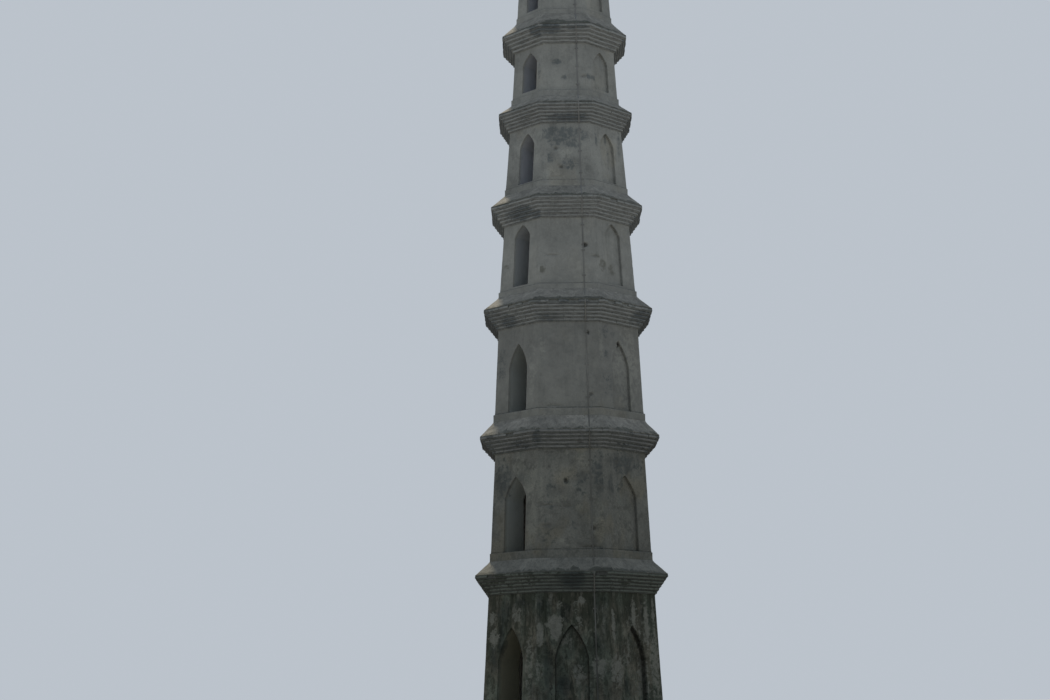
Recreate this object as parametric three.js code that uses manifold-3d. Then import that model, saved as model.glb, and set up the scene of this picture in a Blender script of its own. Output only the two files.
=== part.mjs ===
// Seven-storey octagonal pagoda of plastered brickwork. It is hollow, with stepped brick eaves,
// a doorway and windows on its front and back, blind niches on its sides and a pointed roof.
// Millimetres, +Z up. The origin is on the ground at the tower's axis, and the doorway faces -Y.
import * as THREE from 'three';
import { mergeVertices } from 'three/addons/utils/BufferGeometryUtils.js';
import Module from 'manifold-3d';

const wasm = await Module();
wasm.setup();

// Every radius of the tower is measured to the octagon's corners.
const SIDES = 8;
const SIDE_TURN = 2 * Math.PI / SIDES;
const APOTHEM = Math.cos(SIDE_TURN / 2);

// The plinth stands at base, the wall on the plinth, and the brick courses step out from wallTop
// to eaveTop. These heights, spring and apex are above the ground, and sill is above the plinth.
// Arches start to curve at spring and meet in a point at apex. Shift is how far the mason set the
// openings off the middle of the side.
const STOREYS = [
  { base: 0, plinth: 200, plinthR: 2365, footR: 2290, headR: 2110, wallTop: 3290, eaveR: 2445,
    eaveTop: 3735, courses: 6, thick: 680, width: 800, shift: 0, sill: 0, spring: 1800, apex: 2530 },
  { base: 4080, plinth: 190, plinthR: 2075, footR: 2048, headR: 1930, wallTop: 6620, eaveR: 2310,
    eaveTop: 7020, courses: 5, thick: 620, width: 700, shift: 0, sill: 0, spring: 5540, apex: 6030 },
  { base: 7395, plinth: 180, plinthR: 1965, footR: 1928, headR: 1825, wallTop: 9650, eaveR: 2200,
    eaveTop: 10110, courses: 6, thick: 580, width: 600, shift: 15, sill: 0, spring: 8640, apex: 9215 },
  { base: 10455, plinth: 130, plinthR: 1815, footR: 1777, headR: 1652, wallTop: 12235, eaveR: 2000,
    eaveTop: 12695, courses: 6, thick: 530, width: 505, shift: 15, sill: 65, spring: 11890, apex: 12165 },
  { base: 13030, plinth: 150, plinthR: 1635, footR: 1612, headR: 1490, wallTop: 14650, eaveR: 1780,
    eaveTop: 15090, courses: 6, thick: 500, width: 480, shift: 70, sill: 40, spring: 14170, apex: 14485 },
  { base: 15360, plinth: 150, plinthR: 1448, footR: 1412, headR: 1333, wallTop: 16745, eaveR: 1675,
    eaveTop: 17130, courses: 5, thick: 460, width: 480, shift: 35, sill: 100, spring: 16330, apex: 16610 },
  { base: 17535, plinth: 130, plinthR: 1292, footR: 1268, headR: 1206, wallTop: 18590, eaveR: 1500,
    eaveTop: 18970, courses: 5, thick: 420, width: 380, shift: 40, sill: 80, spring: 18200, apex: 18450 },
];
const GROUND_NICHE = { width: 770, shift: -30, apex: 2560, depth: 140 };
const UPPER_NICHE_DEPTH = 70;
const FLOOR_BEARING = 120;

// Each half of an arch swells out from its chord by this share of the chord's length.
const ARCH_SWELL = 0.07;
const ARCH_STEPS = 8;
const GAP = 0.3;

// The roof curves in to the finial's seat, and it is hollow underneath.
const ROOF_TOP = 20700;
const ROOF_TOP_R = 170;
const ROOF_SAG = 90;
const ROOF_STEPS = 6;
const ROOF_HOLLOW_TOP = 19900;
const ROOF_HOLLOW_TOP_R = 150;

// The finial is a stack of round castings: a bowl, three wheels on necks and a gourd.
const FINIAL_SIDES = 24;
const BOWL_HEIGHT = 300;
const BOWL_FOOT_R = 136;
const BOWL_R = 260;
const WHEEL_HEIGHT = 170;
const WHEEL_RADII = [215, 185, 155];
const WHEEL_RIM = 50;
const NECK_R = 60;
const GOURD_HEIGHT = 460;
const GOURD_R = 135;
const GOURD_TIP_R = 12;

// A lightning strap runs down the side to the right of the doorway, from the finial to the ground.
const STRAP_TURN = SIDE_TURN;
const STRAP_WIDTH = 30;
const STRAP_THICKNESS = 5;
const STRAP_SHIFT_GROUND = 555;
const STRAP_SHIFT_EAVE = 250;

const plaster = { color: 0x8d8880, roughness: 0.92, metalness: 0 };
const stainedPlaster = { color: 0x7c7972, roughness: 0.94, metalness: 0 };
const brick = { color: 0x6b645c, roughness: 0.95, metalness: 0 };
const weathering = { color: 0xa5a29a, roughness: 0.9, metalness: 0 };
const paving = { color: 0x75726b, roughness: 0.9, metalness: 0 };
const boards = { color: 0x5d4a38, roughness: 0.8, metalness: 0 };
const iron = { color: 0x3a3835, roughness: 0.65, metalness: 0.7 };

const pagoda = new THREE.Group();

function addPart(name, geometry, finish) {
  const mesh = new THREE.Mesh(geometry, new THREE.MeshStandardMaterial(finish));
  mesh.name = name;
  pagoda.add(mesh);
}

// A profile of [radius, height] points, taken counter-clockwise, is turned about the tower's axis.
// Corners lie half a side away from the front, so a flat side looks along -Y.
function turned(profile, sides = SIDES) {
  const points = profile.map(([radius, height]) => new THREE.Vector2(radius, height));
  return new THREE.LatheGeometry(points, sides, Math.PI / sides).rotateX(Math.PI / 2);
}

function ring(innerR, bottomR, topR, bottom, top) {
  return turned([[innerR, bottom], [bottomR, bottom], [topR, top], [innerR, top], [innerR, bottom]]);
}

function disc(radius, bottom, top) {
  return turned([[0, bottom], [radius, bottom], [radius, top], [0, top]]);
}

function toSolid(geometry) {
  geometry.deleteAttribute('normal');
  geometry.deleteAttribute('uv');
  const welded = mergeVertices(geometry);
  const vertProperties = new Float32Array(welded.attributes.position.array);
  const triVerts = new Uint32Array(welded.index.array);
  return new wasm.Manifold(new wasm.Mesh({ numProp: 3, vertProperties, triVerts }));
}

function toGeometry(solid) {
  const mesh = solid.getMesh();
  const geometry = new THREE.BufferGeometry();
  geometry.setAttribute('position', new THREE.BufferAttribute(mesh.vertProperties, 3));
  geometry.setIndex(new THREE.BufferAttribute(mesh.triVerts, 1));
  geometry.computeVertexNormals();
  return geometry;
}

// A lancet is upright below its spring, with two arcs above that meet in a point. The arc's centre
// lies on the line through the middle of its chord, across the chord.
function lancet({ width, shift }, bottom, spring, apex) {
  const half = width / 2;
  const rise = apex - spring;
  const chord = Math.hypot(half, rise);
  const swell = ARCH_SWELL * chord;
  const radius = (chord * chord / 4 + swell * swell) / (2 * swell);
  const centreX = half / 2 - (radius - swell) * rise / chord;
  const centreY = (spring + apex) / 2 - (radius - swell) * half / chord;
  const from = Math.atan2(spring - centreY, half - centreX);
  const to = Math.atan2(apex - centreY, -centreX);
  const outline = new THREE.Shape();
  outline.moveTo(shift - half, bottom);
  outline.lineTo(shift + half, bottom);
  outline.absarc(shift + centreX, centreY, radius, from, to, false);
  outline.absarc(shift - centreX, centreY, radius, Math.PI - to, Math.PI - from, false);
  return outline;
}

function wallFoot(storey) {
  return storey.base + storey.plinth;
}

function innerRadius(storey) {
  return (storey.footR + storey.headR) / 2 - storey.thick / APOTHEM;
}

// Without a sill an opening stands on the plinth, and its cutter starts below the wall's foot.
function openingBottom(storey) {
  return storey.sill > 0 ? wallFoot(storey) + storey.sill : storey.base;
}

// Openings are cut along Y, right across the front wall, the room and the back wall.
function openingCutter(storey) {
  const outline = lancet(storey, openingBottom(storey), storey.spring, storey.apex);
  const depth = 2 * storey.plinthR;
  const cutter = new THREE.ExtrudeGeometry(outline, { depth, bevelEnabled: false, curveSegments: ARCH_STEPS });
  return cutter.translate(0, 0, -storey.plinthR).rotateX(Math.PI / 2);
}

// A blind niche follows the wall's lean, so it is as deep at its head as at its foot.
function nicheCutter(storey, niche, side) {
  const foot = wallFoot(storey);
  const lean = Math.atan((storey.footR - storey.headR) * APOTHEM / (storey.wallTop - foot));
  const outline = lancet(niche, openingBottom(storey) - foot, storey.spring - foot, niche.apex - foot);
  const cutter = new THREE.ExtrudeGeometry(outline, {
    depth: 2 * niche.depth, bevelEnabled: false, curveSegments: ARCH_STEPS });
  cutter.translate(0, 0, -niche.depth).rotateX(Math.PI / 2).rotateX(-lean);
  return cutter.translate(0, -storey.footR * APOTHEM, foot).rotateZ(side * SIDE_TURN);
}

function wall(storey, niche, nicheSides) {
  const blank = ring(innerRadius(storey), storey.footR, storey.headR, wallFoot(storey), storey.wallTop);
  let solid = toSolid(blank).subtract(toSolid(openingCutter(storey)));
  for (const side of nicheSides) {
    solid = solid.subtract(toSolid(nicheCutter(storey, niche, side)));
  }
  return toGeometry(solid);
}

// Brick courses of equal height step out evenly from the wall to the eave.
function courseSteps(storey) {
  const rise = (storey.eaveTop - storey.wallTop) / storey.courses;
  const step = (storey.eaveR - storey.headR) / storey.courses;
  const steps = [];
  for (let course = 0; course < storey.courses; course += 1) {
    const radius = storey.headR + step * (course + 1);
    steps.push([radius, storey.wallTop + rise * course], [radius, storey.wallTop + rise * (course + 1)]);
  }
  return steps;
}

function corbel(storey) {
  const inner = innerRadius(storey);
  return turned([[inner, storey.wallTop], ...courseSteps(storey), [inner, storey.eaveTop],
    [inner, storey.wallTop]]);
}

const topStorey = STOREYS.at(-1);

function roofSlope() {
  const run = ROOF_TOP_R - topStorey.eaveR;
  const rise = ROOF_TOP - topStorey.eaveTop;
  const slope = [];
  for (let i = 0; i <= ROOF_STEPS; i += 1) {
    const share = i / ROOF_STEPS;
    const sag = ROOF_SAG * Math.sin(Math.PI * share);
    slope.push([topStorey.eaveR + run * share - sag, topStorey.eaveTop + rise * share - sag]);
  }
  return slope;
}

function roof() {
  const inner = innerRadius(topStorey);
  return turned([[inner, topStorey.eaveTop], ...roofSlope(), [0, ROOF_TOP], [0, ROOF_HOLLOW_TOP],
    [ROOF_HOLLOW_TOP_R, ROOF_HOLLOW_TOP], [inner, topStorey.eaveTop]]);
}

// The tower
const OTHER_SIDES = [1, 2, 3, 5, 6, 7];
const LEFT_AND_RIGHT = [2, 6];

STOREYS.forEach((storey, index) => {
  const number = index + 1;
  const onGround = index === 0;
  const foot = wallFoot(storey);
  const floorR = innerRadius(STOREYS[index - 1] ?? storey) + FLOOR_BEARING;
  const niche = onGround ? GROUND_NICHE : { ...storey, shift: 0, depth: UPPER_NICHE_DEPTH };
  const finish = onGround ? stainedPlaster : plaster;
  addPart(`plinth_${number}`, ring(floorR + GAP, storey.plinthR, storey.plinthR, storey.base, foot), finish);
  addPart(`floor_${number}`, disc(floorR, storey.base, foot), onGround ? paving : boards);
  addPart(`wall_${number}`, wall(storey, niche, onGround ? OTHER_SIDES : LEFT_AND_RIGHT), finish);
  addPart(`corbel_${number}`, corbel(storey), brick);
  const above = STOREYS[index + 1];
  if (above) {
    addPart(`eave_slope_${number}`,
      ring(innerRadius(storey), storey.eaveR, above.plinthR, storey.eaveTop, above.base), weathering);
  }
});
addPart('roof', roof(), weathering);

// The finial
function bowlProfile(bottom) {
  const at = (share) => bottom + BOWL_HEIGHT * share;
  return [[0, bottom], [BOWL_FOOT_R, bottom], [BOWL_R, at(0.55)], [BOWL_R, at(0.72)],
    [NECK_R, at(1)], [0, at(1)]];
}

function wheelProfile(bottom, radius) {
  const middle = bottom + WHEEL_HEIGHT / 2;
  const top = bottom + WHEEL_HEIGHT;
  return [[0, bottom], [NECK_R, bottom], [NECK_R, middle - WHEEL_RIM / 2],
    [radius, middle - WHEEL_RIM / 3], [radius, middle + WHEEL_RIM / 3],
    [NECK_R, middle + WHEEL_RIM / 2], [NECK_R, top], [0, top]];
}

function gourdProfile(bottom) {
  const at = (share) => bottom + GOURD_HEIGHT * share;
  return [[0, bottom], [NECK_R, bottom], [GOURD_R, at(0.16)], [GOURD_R, at(0.3)], [NECK_R, at(0.46)],
    [GOURD_R * 0.62, at(0.58)], [GOURD_R * 0.5, at(0.7)], [GOURD_TIP_R * 2, at(0.88)],
    [GOURD_TIP_R, at(1)], [0, at(1)]];
}

let seat = ROOF_TOP;
addPart('finial_bowl', turned(bowlProfile(seat), FINIAL_SIDES), iron);
seat += BOWL_HEIGHT;
WHEEL_RADII.forEach((radius, index) => {
  addPart(`finial_wheel_${index + 1}`, turned(wheelProfile(seat, radius), FINIAL_SIDES), iron);
  seat += WHEEL_HEIGHT;
});
addPart('finial_gourd', turned(gourdProfile(seat), FINIAL_SIDES), iron);

// The strap follows the tower's outline in the middle plane of its side, from the ground up, but
// it crosses the courses' noses in one straight run.
function strapRoute() {
  const route = [];
  for (const storey of STOREYS) {
    const steps = courseSteps(storey);
    route.push([storey.plinthR, storey.base], [storey.plinthR, wallFoot(storey)],
      [storey.footR, wallFoot(storey)], [storey.headR, storey.wallTop], steps[0], ...steps.slice(-2));
  }
  route.push(...roofSlope().slice(1), [(BOWL_FOOT_R + STRAP_THICKNESS) / APOTHEM, ROOF_TOP]);
  return route.map(([radius, height]) => new THREE.Vector2(radius * APOTHEM, height));
}

// Each point moves out by the same distance from both of the runs that meet in it.
function movedOut(route, distance) {
  const normals = route.slice(1).map((point, index) => {
    const along = point.clone().sub(route[index]).normalize();
    return new THREE.Vector2(along.y, -along.x);
  });
  return route.map((point, index) => {
    const before = normals[Math.max(index - 1, 0)];
    const after = normals[Math.min(index, normals.length - 1)];
    const bisector = before.clone().add(after);
    return point.clone().addScaledVector(bisector, distance / (1 + before.dot(after)));
  });
}

// It leans in with the tower up to the top eave, and then runs to the finial's foot.
function strapShift(height) {
  const eave = topStorey.eaveTop;
  if (height > eave) {
    return STRAP_SHIFT_EAVE * (ROOF_TOP - height) / (ROOF_TOP - eave);
  }
  return STRAP_SHIFT_GROUND + (STRAP_SHIFT_EAVE - STRAP_SHIFT_GROUND) * height / eave;
}

function strap() {
  const route = strapRoute();
  const back = movedOut(route, GAP);
  const front = movedOut(route, GAP + STRAP_THICKNESS);
  const corners = [];
  back.forEach((inner, index) => {
    const shift = strapShift(route[index].y);
    for (const [point, across] of [[inner, -1], [front[index], -1], [front[index], 1], [inner, 1]]) {
      corners.push(shift + across * STRAP_WIDTH / 2, -point.x, point.y);
    }
  });
  const faces = [];
  const quad = (a, b, c, d) => faces.push(a, b, c, a, c, d);
  quad(3, 2, 1, 0);
  for (let run = 0; run < route.length - 1; run += 1) {
    for (let edge = 0; edge < 4; edge += 1) {
      const a = 4 * run + edge;
      const b = 4 * run + (edge + 1) % 4;
      quad(a, b, b + 4, a + 4);
    }
  }
  const last = 4 * (route.length - 1);
  quad(last, last + 1, last + 2, last + 3);
  const geometry = new THREE.BufferGeometry();
  geometry.setAttribute('position', new THREE.Float32BufferAttribute(corners, 3));
  geometry.setIndex(faces);
  return geometry.rotateZ(STRAP_TURN);
}
addPart('lightning_strap', strap(), iron);

export default pagoda;
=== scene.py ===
import math

import bmesh
import bpy
import numpy as np
from mathutils import Matrix, Vector


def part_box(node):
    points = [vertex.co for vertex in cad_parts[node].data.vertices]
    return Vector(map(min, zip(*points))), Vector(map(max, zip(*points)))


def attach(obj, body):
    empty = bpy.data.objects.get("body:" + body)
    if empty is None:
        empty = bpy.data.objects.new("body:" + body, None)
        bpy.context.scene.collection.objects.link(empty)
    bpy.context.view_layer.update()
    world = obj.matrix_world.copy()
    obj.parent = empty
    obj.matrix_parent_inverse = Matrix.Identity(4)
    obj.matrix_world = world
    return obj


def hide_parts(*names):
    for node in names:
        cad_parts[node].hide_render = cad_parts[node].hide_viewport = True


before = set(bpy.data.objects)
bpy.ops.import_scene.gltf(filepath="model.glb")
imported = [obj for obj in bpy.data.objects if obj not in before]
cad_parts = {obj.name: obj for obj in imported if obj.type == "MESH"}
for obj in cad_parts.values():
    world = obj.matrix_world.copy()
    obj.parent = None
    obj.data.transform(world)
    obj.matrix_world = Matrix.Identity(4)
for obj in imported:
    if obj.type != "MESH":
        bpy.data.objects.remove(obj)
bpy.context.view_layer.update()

# The octagon. Side 0 faces the front, and the others follow anticlockwise, seen from above. A
# hidden side's twin is the visible one whose marks it mirrors.
SIDES = 8
TURN = 2 * math.pi / SIDES
APOTHEM = math.cos(TURN / 2)
HALF_SIDE = math.sin(TURN / 2)
STOREYS = 7
FRONT, BACK = 0, 4
LEFT_AND_RIGHT = (2, 6)
HIDDEN_SIDES = (3, 4, 5, 6, 7)
NEXT_TO_VISIBLE = (3, 7)
TWIN_SIDES = (0, 1, 2, 1, 0, 1, 2, 1)
STRAP_SIDE = 1

# Grid of the plaster skins, how far their arrises and the lips of openings are rounded, the fewest
# columns on a flat stretch, and how close points are that merge
GROUND_GRID = 0.036
UPPER_GRID = 0.027
ARRIS = 0.045
ARRIS_STEPS = 3
LIP = 0.014
FEWEST_COLUMNS = 4
WELD = 0.0002

# Openings: width, how far they are set off the middle, sill above the wall's foot, and the heights
# of spring and apex above the ground
OPENINGS = {
    1: (0.80, 0.0, 0.0, 1.80, 2.53),
    2: (0.70, 0.0, 0.0, 5.54, 6.03),
    3: (0.60, 0.015, 0.0, 8.64, 9.215),
    4: (0.505, 0.015, 0.065, 11.89, 12.165),
    5: (0.48, 0.07, 0.04, 14.17, 14.485),
    6: (0.48, 0.035, 0.10, 16.33, 16.61),
    7: (0.38, 0.04, 0.08, 18.20, 18.45),
}
GROUND_NICHE = (0.77, -0.03, 0.0, 1.80, 2.56)
GROUND_NICHE_DEPTH = 0.14
GROUND_NICHE_SIDES = (1, 2, 3, 5, 6, 7)
UPPER_NICHE_DEPTH = 0.07
ARCH_SWELL = 0.07

# Corbels: courses, the chance that every second brick of the top one is lost, a brick's share of
# its course's rise, and how far the bedding reaches out and stays back
COURSES = {1: 6, 2: 5, 3: 6, 4: 6, 5: 6, 6: 5, 7: 5}
LOST_BRICKS = {3: 0.85}
LOST_ELSEWHERE = 0.15
BRICK_SHARE_LOWEST = 0.70
BRICK_SHARE_GAIN = 0.02
BED_REACH = 0.75
BED_RECESS = 0.018

# The hollow under the roof, the strap's way up, and the finial
HOLLOW_TOP = 19.9
HOLLOW_TOP_RADIUS = 0.15
ROOF_TIP_RADIUS = 0.16
STRAP_GROUND_SHIFT = 0.555
STRAP_EAVE_SHIFT = 0.25
FINIAL = ("finial_bowl", "finial_wheel_1", "finial_wheel_2", "finial_wheel_3", "finial_gourd")

# Marks on the surfaces, by storey and side: across, height, width, tall, and how deep or strong.
# The hidden sides bear their twins' marks too, mirrored.
PITS = {
    (2, 1): [(-0.11, 5.875, 0.08, 0.1, 0.04), (0.13, 5.616, 0.11, 0.09, 0.02),
             (0.33, 6.035, 0.2, 0.1, 0.015), (-0.56, 5.297, 0.34, 0.05, 0.02),
             (-0.07, 5.269, 0.2, 0.06, 0.02), (0.52, 4.755, 0.14, 0.11, 0.03),
             (-0.57, 4.834, 0.24, 0.05, 0.02), (0.42, 4.33, 0.45, 0.05, 0.025)],
    (3, 1): [(0.454, 9.388, 0.08, 0.1, 0.04), (0.5, 7.894, 0.11, 0.08, 0.03),
             (-0.664, 8.361, 0.05, 0.06, 0.015), (-0.37, 7.63, 0.42, 0.05, 0.02)],
    (3, 2): [(-0.01, 9.187, 0.12, 0.12, 0.05)],
    (4, 1): [(0.41, 11.539, 0.12, 0.12, 0.05), (-0.349, 11.291, 0.3, 0.035, 0.02),
             (0.62, 11.254, 0.14, 0.07, 0.02)],
    (5, 1): [(-0.245, 13.997, 0.1, 0.08, 0.03), (-0.13, 13.506, 0.1, 0.07, 0.035),
             (0.063, 13.529, 0.16, 0.1, 0.015), (-0.23, 13.27, 0.28, 0.035, 0.015)],
    (6, 1): [(-0.218, 16.259, 0.28, 0.14, 0.008), (0.46, 15.868, 0.14, 0.1, 0.025),
             (-0.051, 15.849, 0.06, 0.06, 0.02)],
}
STAINS_AND_SHADE = {
    (1, 0): [(-0.25, 2.85, 0.52, 0.6, 0.9), (0.28, 3.08, 0.5, 0.26, 0.8), (-0.55, 1.8, 0.34, 0.7, 0.8),
             (-0.34, 2.28, 0.24, 0.8, 1.3)],
    (1, 1): [(-0.18, 2.85, 0.42, 0.46, 1.0), (-0.78, 2.95, 0.42, 0.6, 0.8), (-0.62, 2.35, 0.14, 0.3, 0.8),
             (-0.18, 1.85, 0.34, 0.36, 0.6), (0.12, 1.6, 0.22, 0.26, 0.7), (-0.2, 1.2, 0.4, 0.4, 1.5),
             (0.54, 2.15, 0.36, 0.6, 0.6), (-0.55, 1.55, 0.28, 1.4, 0.9), (0.55, 3.0, 0.36, 0.5, 0.6)],
    (1, 2): [(-0.1, 2.8, 0.16, 0.8, 0.9), (0.28, 2.9, 0.2, 0.7, 0.8), (-0.26, 1.2, 0.3, 0.45, 0.8)],
    (2, 0): [(-0.45, 6.0, 0.6, 1.0, 0.85), (-0.8, 5.4, 0.26, 2.2, 0.6)],
    # Storey 2's middle side: the tall thin mark at its left arris is a crack with painted shade along the
    # arris
    (2, 1): [(0.25, 5.83, 0.4, 0.6, 0.65), (0.66, 6.05, 0.36, 1.15, 0.8), (-0.52, 5.3, 0.45, 0.34, 0.6),
             (-0.45, 5.68, 0.45, 0.38, 0.6), (0.07, 4.91, 0.5, 0.45, 0.4), (0.64, 4.25, 0.32, 0.22, 0.6),
             (-0.84, 5.35, 0.1, 2.6, 1.1), (-0.55, 4.6, 0.4, 0.7, 0.45), (-0.11, 5.875, 0.13, 0.16, 1.0)],
    (2, 2): [(0.02, 6.32, 1.2, 0.6, 0.9), (-0.12, 5.79, 0.42, 0.45, 0.7), (-0.5, 5.75, 0.26, 0.7, 0.75)],
    (3, 0): [(-0.52, 8.8, 0.3, 0.9, 0.6), (-0.76, 8.6, 0.16, 2.0, 0.6)],
    (3, 2): [(-0.5, 8.87, 0.34, 0.26, 0.55), (-0.44, 8.34, 0.55, 0.4, 0.48),
             (-0.4, 7.92, 0.42, 0.6, 0.45), (-0.02, 8.06, 0.34, 0.3, 0.5), (-0.24, 9.41, 0.32, 0.26, 0.5),
             (-0.45, 9.45, 0.4, 0.35, 0.6)],
    (4, 0): [(-0.47, 11.2, 0.35, 0.14, 0.7)],
    (4, 1): [(-0.62, 10.94, 0.15, 0.19, 1.3)],
    (4, 2): [(-0.58, 11.29, 0.25, 0.14, 0.9), (-0.41, 11.09, 0.26, 0.34, 0.9),
             (-0.04, 11.02, 0.26, 0.34, 0.8)],
    (5, 1): [(-0.13, 14.36, 0.92, 0.54, 1.0), (0.12, 14.12, 0.55, 0.24, 0.9),
             (0.46, 14.33, 0.3, 0.36, 0.8), (-0.39, 13.75, 0.24, 0.28, 0.6),
             (-0.62, 13.59, 0.24, 0.28, 0.6), (0.1, 13.55, 0.38, 0.32, 0.8)],
    (5, 2): [(-0.37, 14.22, 0.1, 0.6, 0.8), (0.02, 14.33, 0.14, 0.26, 0.9), (0.44, 14.3, 0.14, 0.7, 0.8),
             (0.09, 13.89, 0.12, 0.55, 0.7)],
    (6, 0): [(0.39, 16.0, 0.14, 0.42, 0.7)],
    (6, 1): [(-0.22, 16.26, 0.3, 0.18, 1.0), (-0.03, 15.85, 0.16, 0.2, 0.8)],
    (6, 2): [(-0.5, 15.87, 0.28, 0.16, 1.0), (-0.27, 15.88, 0.2, 0.14, 0.8)],
}
CLEAN_PATCHES = {
    (1, 0): [(-0.64, 2.74, 0.26, 0.36, 0.7), (-0.56, 2.31, 0.38, 0.4, 0.8), (0.18, 2.78, 0.32, 0.4, 0.6),
             (0.62, 1.7, 0.32, 1.4, 0.5)],
    (1, 1): [(-0.4, 2.6, 0.38, 0.36, 1.0), (-0.4, 2.38, 0.24, 0.32, 1.0), (-0.75, 2.34, 0.19, 0.46, 1.0),
             (0.21, 3.11, 0.2, 0.2, 0.8), (-0.3, 3.0, 0.16, 0.18, 0.6), (-0.16, 2.22, 0.32, 0.36, 0.5),
             (0.13, 1.44, 0.36, 0.5, 0.6), (0.57, 1.6, 0.36, 0.56, 0.7), (-0.85, 1.55, 0.33, 0.6, 0.5),
             (0.1, 2.75, 0.24, 0.9, 0.4)],
    (1, 2): [(-0.65, 1.54, 0.5, 0.7, 0.7), (-0.68, 2.55, 0.12, 0.75, 0.9), (-0.15, 1.87, 0.34, 0.75, 0.5),
             (0.66, 1.75, 0.4, 1.7, 0.6), (0.02, 2.75, 0.14, 0.9, 0.8), (0.45, 2.6, 0.16, 1.2, 0.8),
             (0.7, 2.9, 0.14, 0.7, 0.7), (0.3, 1.3, 0.4, 1.3, 0.5), (0.1, 2.4, 1.0, 1.3, 0.35)],
    (2, 0): [(0.1, 6.27, 0.4, 0.5, 0.75), (0.49, 5.91, 0.44, 0.7, 0.8), (0.58, 4.91, 0.3, 1.2, 0.8)],
    (2, 1): [(0.32, 6.34, 0.32, 0.42, 0.6), (-0.09, 6.52, 0.14, 0.14, 0.9), (0.19, 5.23, 0.18, 0.16, 0.9),
             (-0.7, 5.6, 0.14, 1.7, 0.5), (-0.21, 5.42, 0.55, 0.26, 0.5), (-0.21, 4.48, 0.16, 0.1, 0.9),
             (0.68, 4.95, 0.36, 1.1, 0.5)],
    (2, 2): [(-0.1, 5.1, 0.5, 1.2, 0.45), (-0.28, 5.0, 0.16, 0.96, 0.6), (0.14, 4.98, 0.24, 1.24, 0.6)],
    (3, 0): [(0.5, 8.4, 0.3, 1.6, 0.4)],
    (3, 1): [(-0.63, 9.07, 0.14, 0.66, 0.5)],
    (3, 2): [(-0.65, 9.06, 0.2, 0.85, 0.7), (0.2, 8.6, 0.9, 1.9, 0.55)],
    (5, 1): [(-0.02, 13.85, 0.4, 0.26, 0.7), (-0.39, 13.4, 0.38, 0.36, 0.5)],
}
# Corbel marks: stains on the visible sides. The hidden sides' painted shade is added below.
CORBEL_STAINS_AND_SHADE = {
    (1, 1): [(0.0, 3.6, 0.6, 0.45, 0.9)],
    (2, 0): [(0.23, 6.71, 1.08, 0.27, 0.6), (-0.5, 6.82, 0.9, 0.5, 0.35)],
    (2, 1): [(-0.8, 6.82, 0.26, 0.42, 0.9)],
    (2, 2): [(0.1, 6.8, 1.4, 0.5, 0.4)],
    (3, 0): [(-0.22, 9.77, 0.61, 0.31, 0.7), (-0.6, 9.92, 0.7, 0.4, 0.5)],
    (3, 1): [(-0.46, 9.74, 0.69, 0.28, 0.5), (0.1, 10.06, 1.6, 0.12, 0.6)],
    (3, 2): [(0.55, 9.9, 0.6, 0.4, 0.7)],
    (4, 0): [(0.1, 12.42, 0.9, 0.3, 0.9), (0.6, 12.3, 0.4, 0.3, 0.8)],
    (5, 1): [(0.1, 14.75, 1.0, 0.22, 0.7)],
    (6, 0): [(0.5, 17.02, 0.4, 0.28, 1.0), (-0.1, 16.9, 0.6, 0.14, 0.5)],
    (6, 1): [(-0.35, 17.05, 0.6, 0.24, 1.0), (0.35, 17.06, 0.8, 0.12, 0.7)],
}
SLOPE_STAINS = {
    (1, 1): [(0.05, 3.82, 0.16, 0.16, 1.0), (0.75, 3.8, 0.6, 0.12, 1.0)],
    (3, 1): [(-0.7, 10.14, 0.4, 0.14, 0.9), (0.2, 10.14, 1.3, 0.1, 0.8)],
    (4, 1): [(-0.1, 12.74, 0.4, 0.16, 0.5)],
    (6, 1): [(-0.24, 17.22, 0.55, 0.26, 0.9), (0.35, 17.17, 0.5, 0.14, 0.8)],
}
# The hidden sides of the corbels are darkened with painted shade: its height, and its strength on the two
# sides next to the visible ones
BACK_CORBEL_SHADE = {1: (3.51, 1.3), 2: (6.82, 1.3), 3: (9.88, 1.3), 4: (12.46, 1.0), 5: (14.87, 0.8), 6: (16.94, 0.8)}
BACK_CORBEL_SHADE_WIDTH = 2.6
BACK_CORBEL_SHADE_TALL = 0.9
BACK_CORBEL_SHADE_AT_BACK = 0.7
for number, (shade_height, shade_at_sides) in BACK_CORBEL_SHADE.items():
    for side in HIDDEN_SIDES:
        strength = shade_at_sides if side in NEXT_TO_VISIBLE else BACK_CORBEL_SHADE_AT_BACK
        CORBEL_STAINS_AND_SHADE[number, side] = [(0.0, shade_height, BACK_CORBEL_SHADE_WIDTH, BACK_CORBEL_SHADE_TALL, strength)]

# The depth at which a pit is fully dark, and how dark the niches' cheeks and rims are, with dirt and
# painted shade, by storey
PIT_FULL_DEPTH = 0.05
NICHE_DIRT_AND_SHADE = {1: 0.75, 2: 0.30, 3: 0.35, 4: 0.35}
NICHE_DIRT_AND_SHADE_HIGH_UP = 0.10


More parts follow.
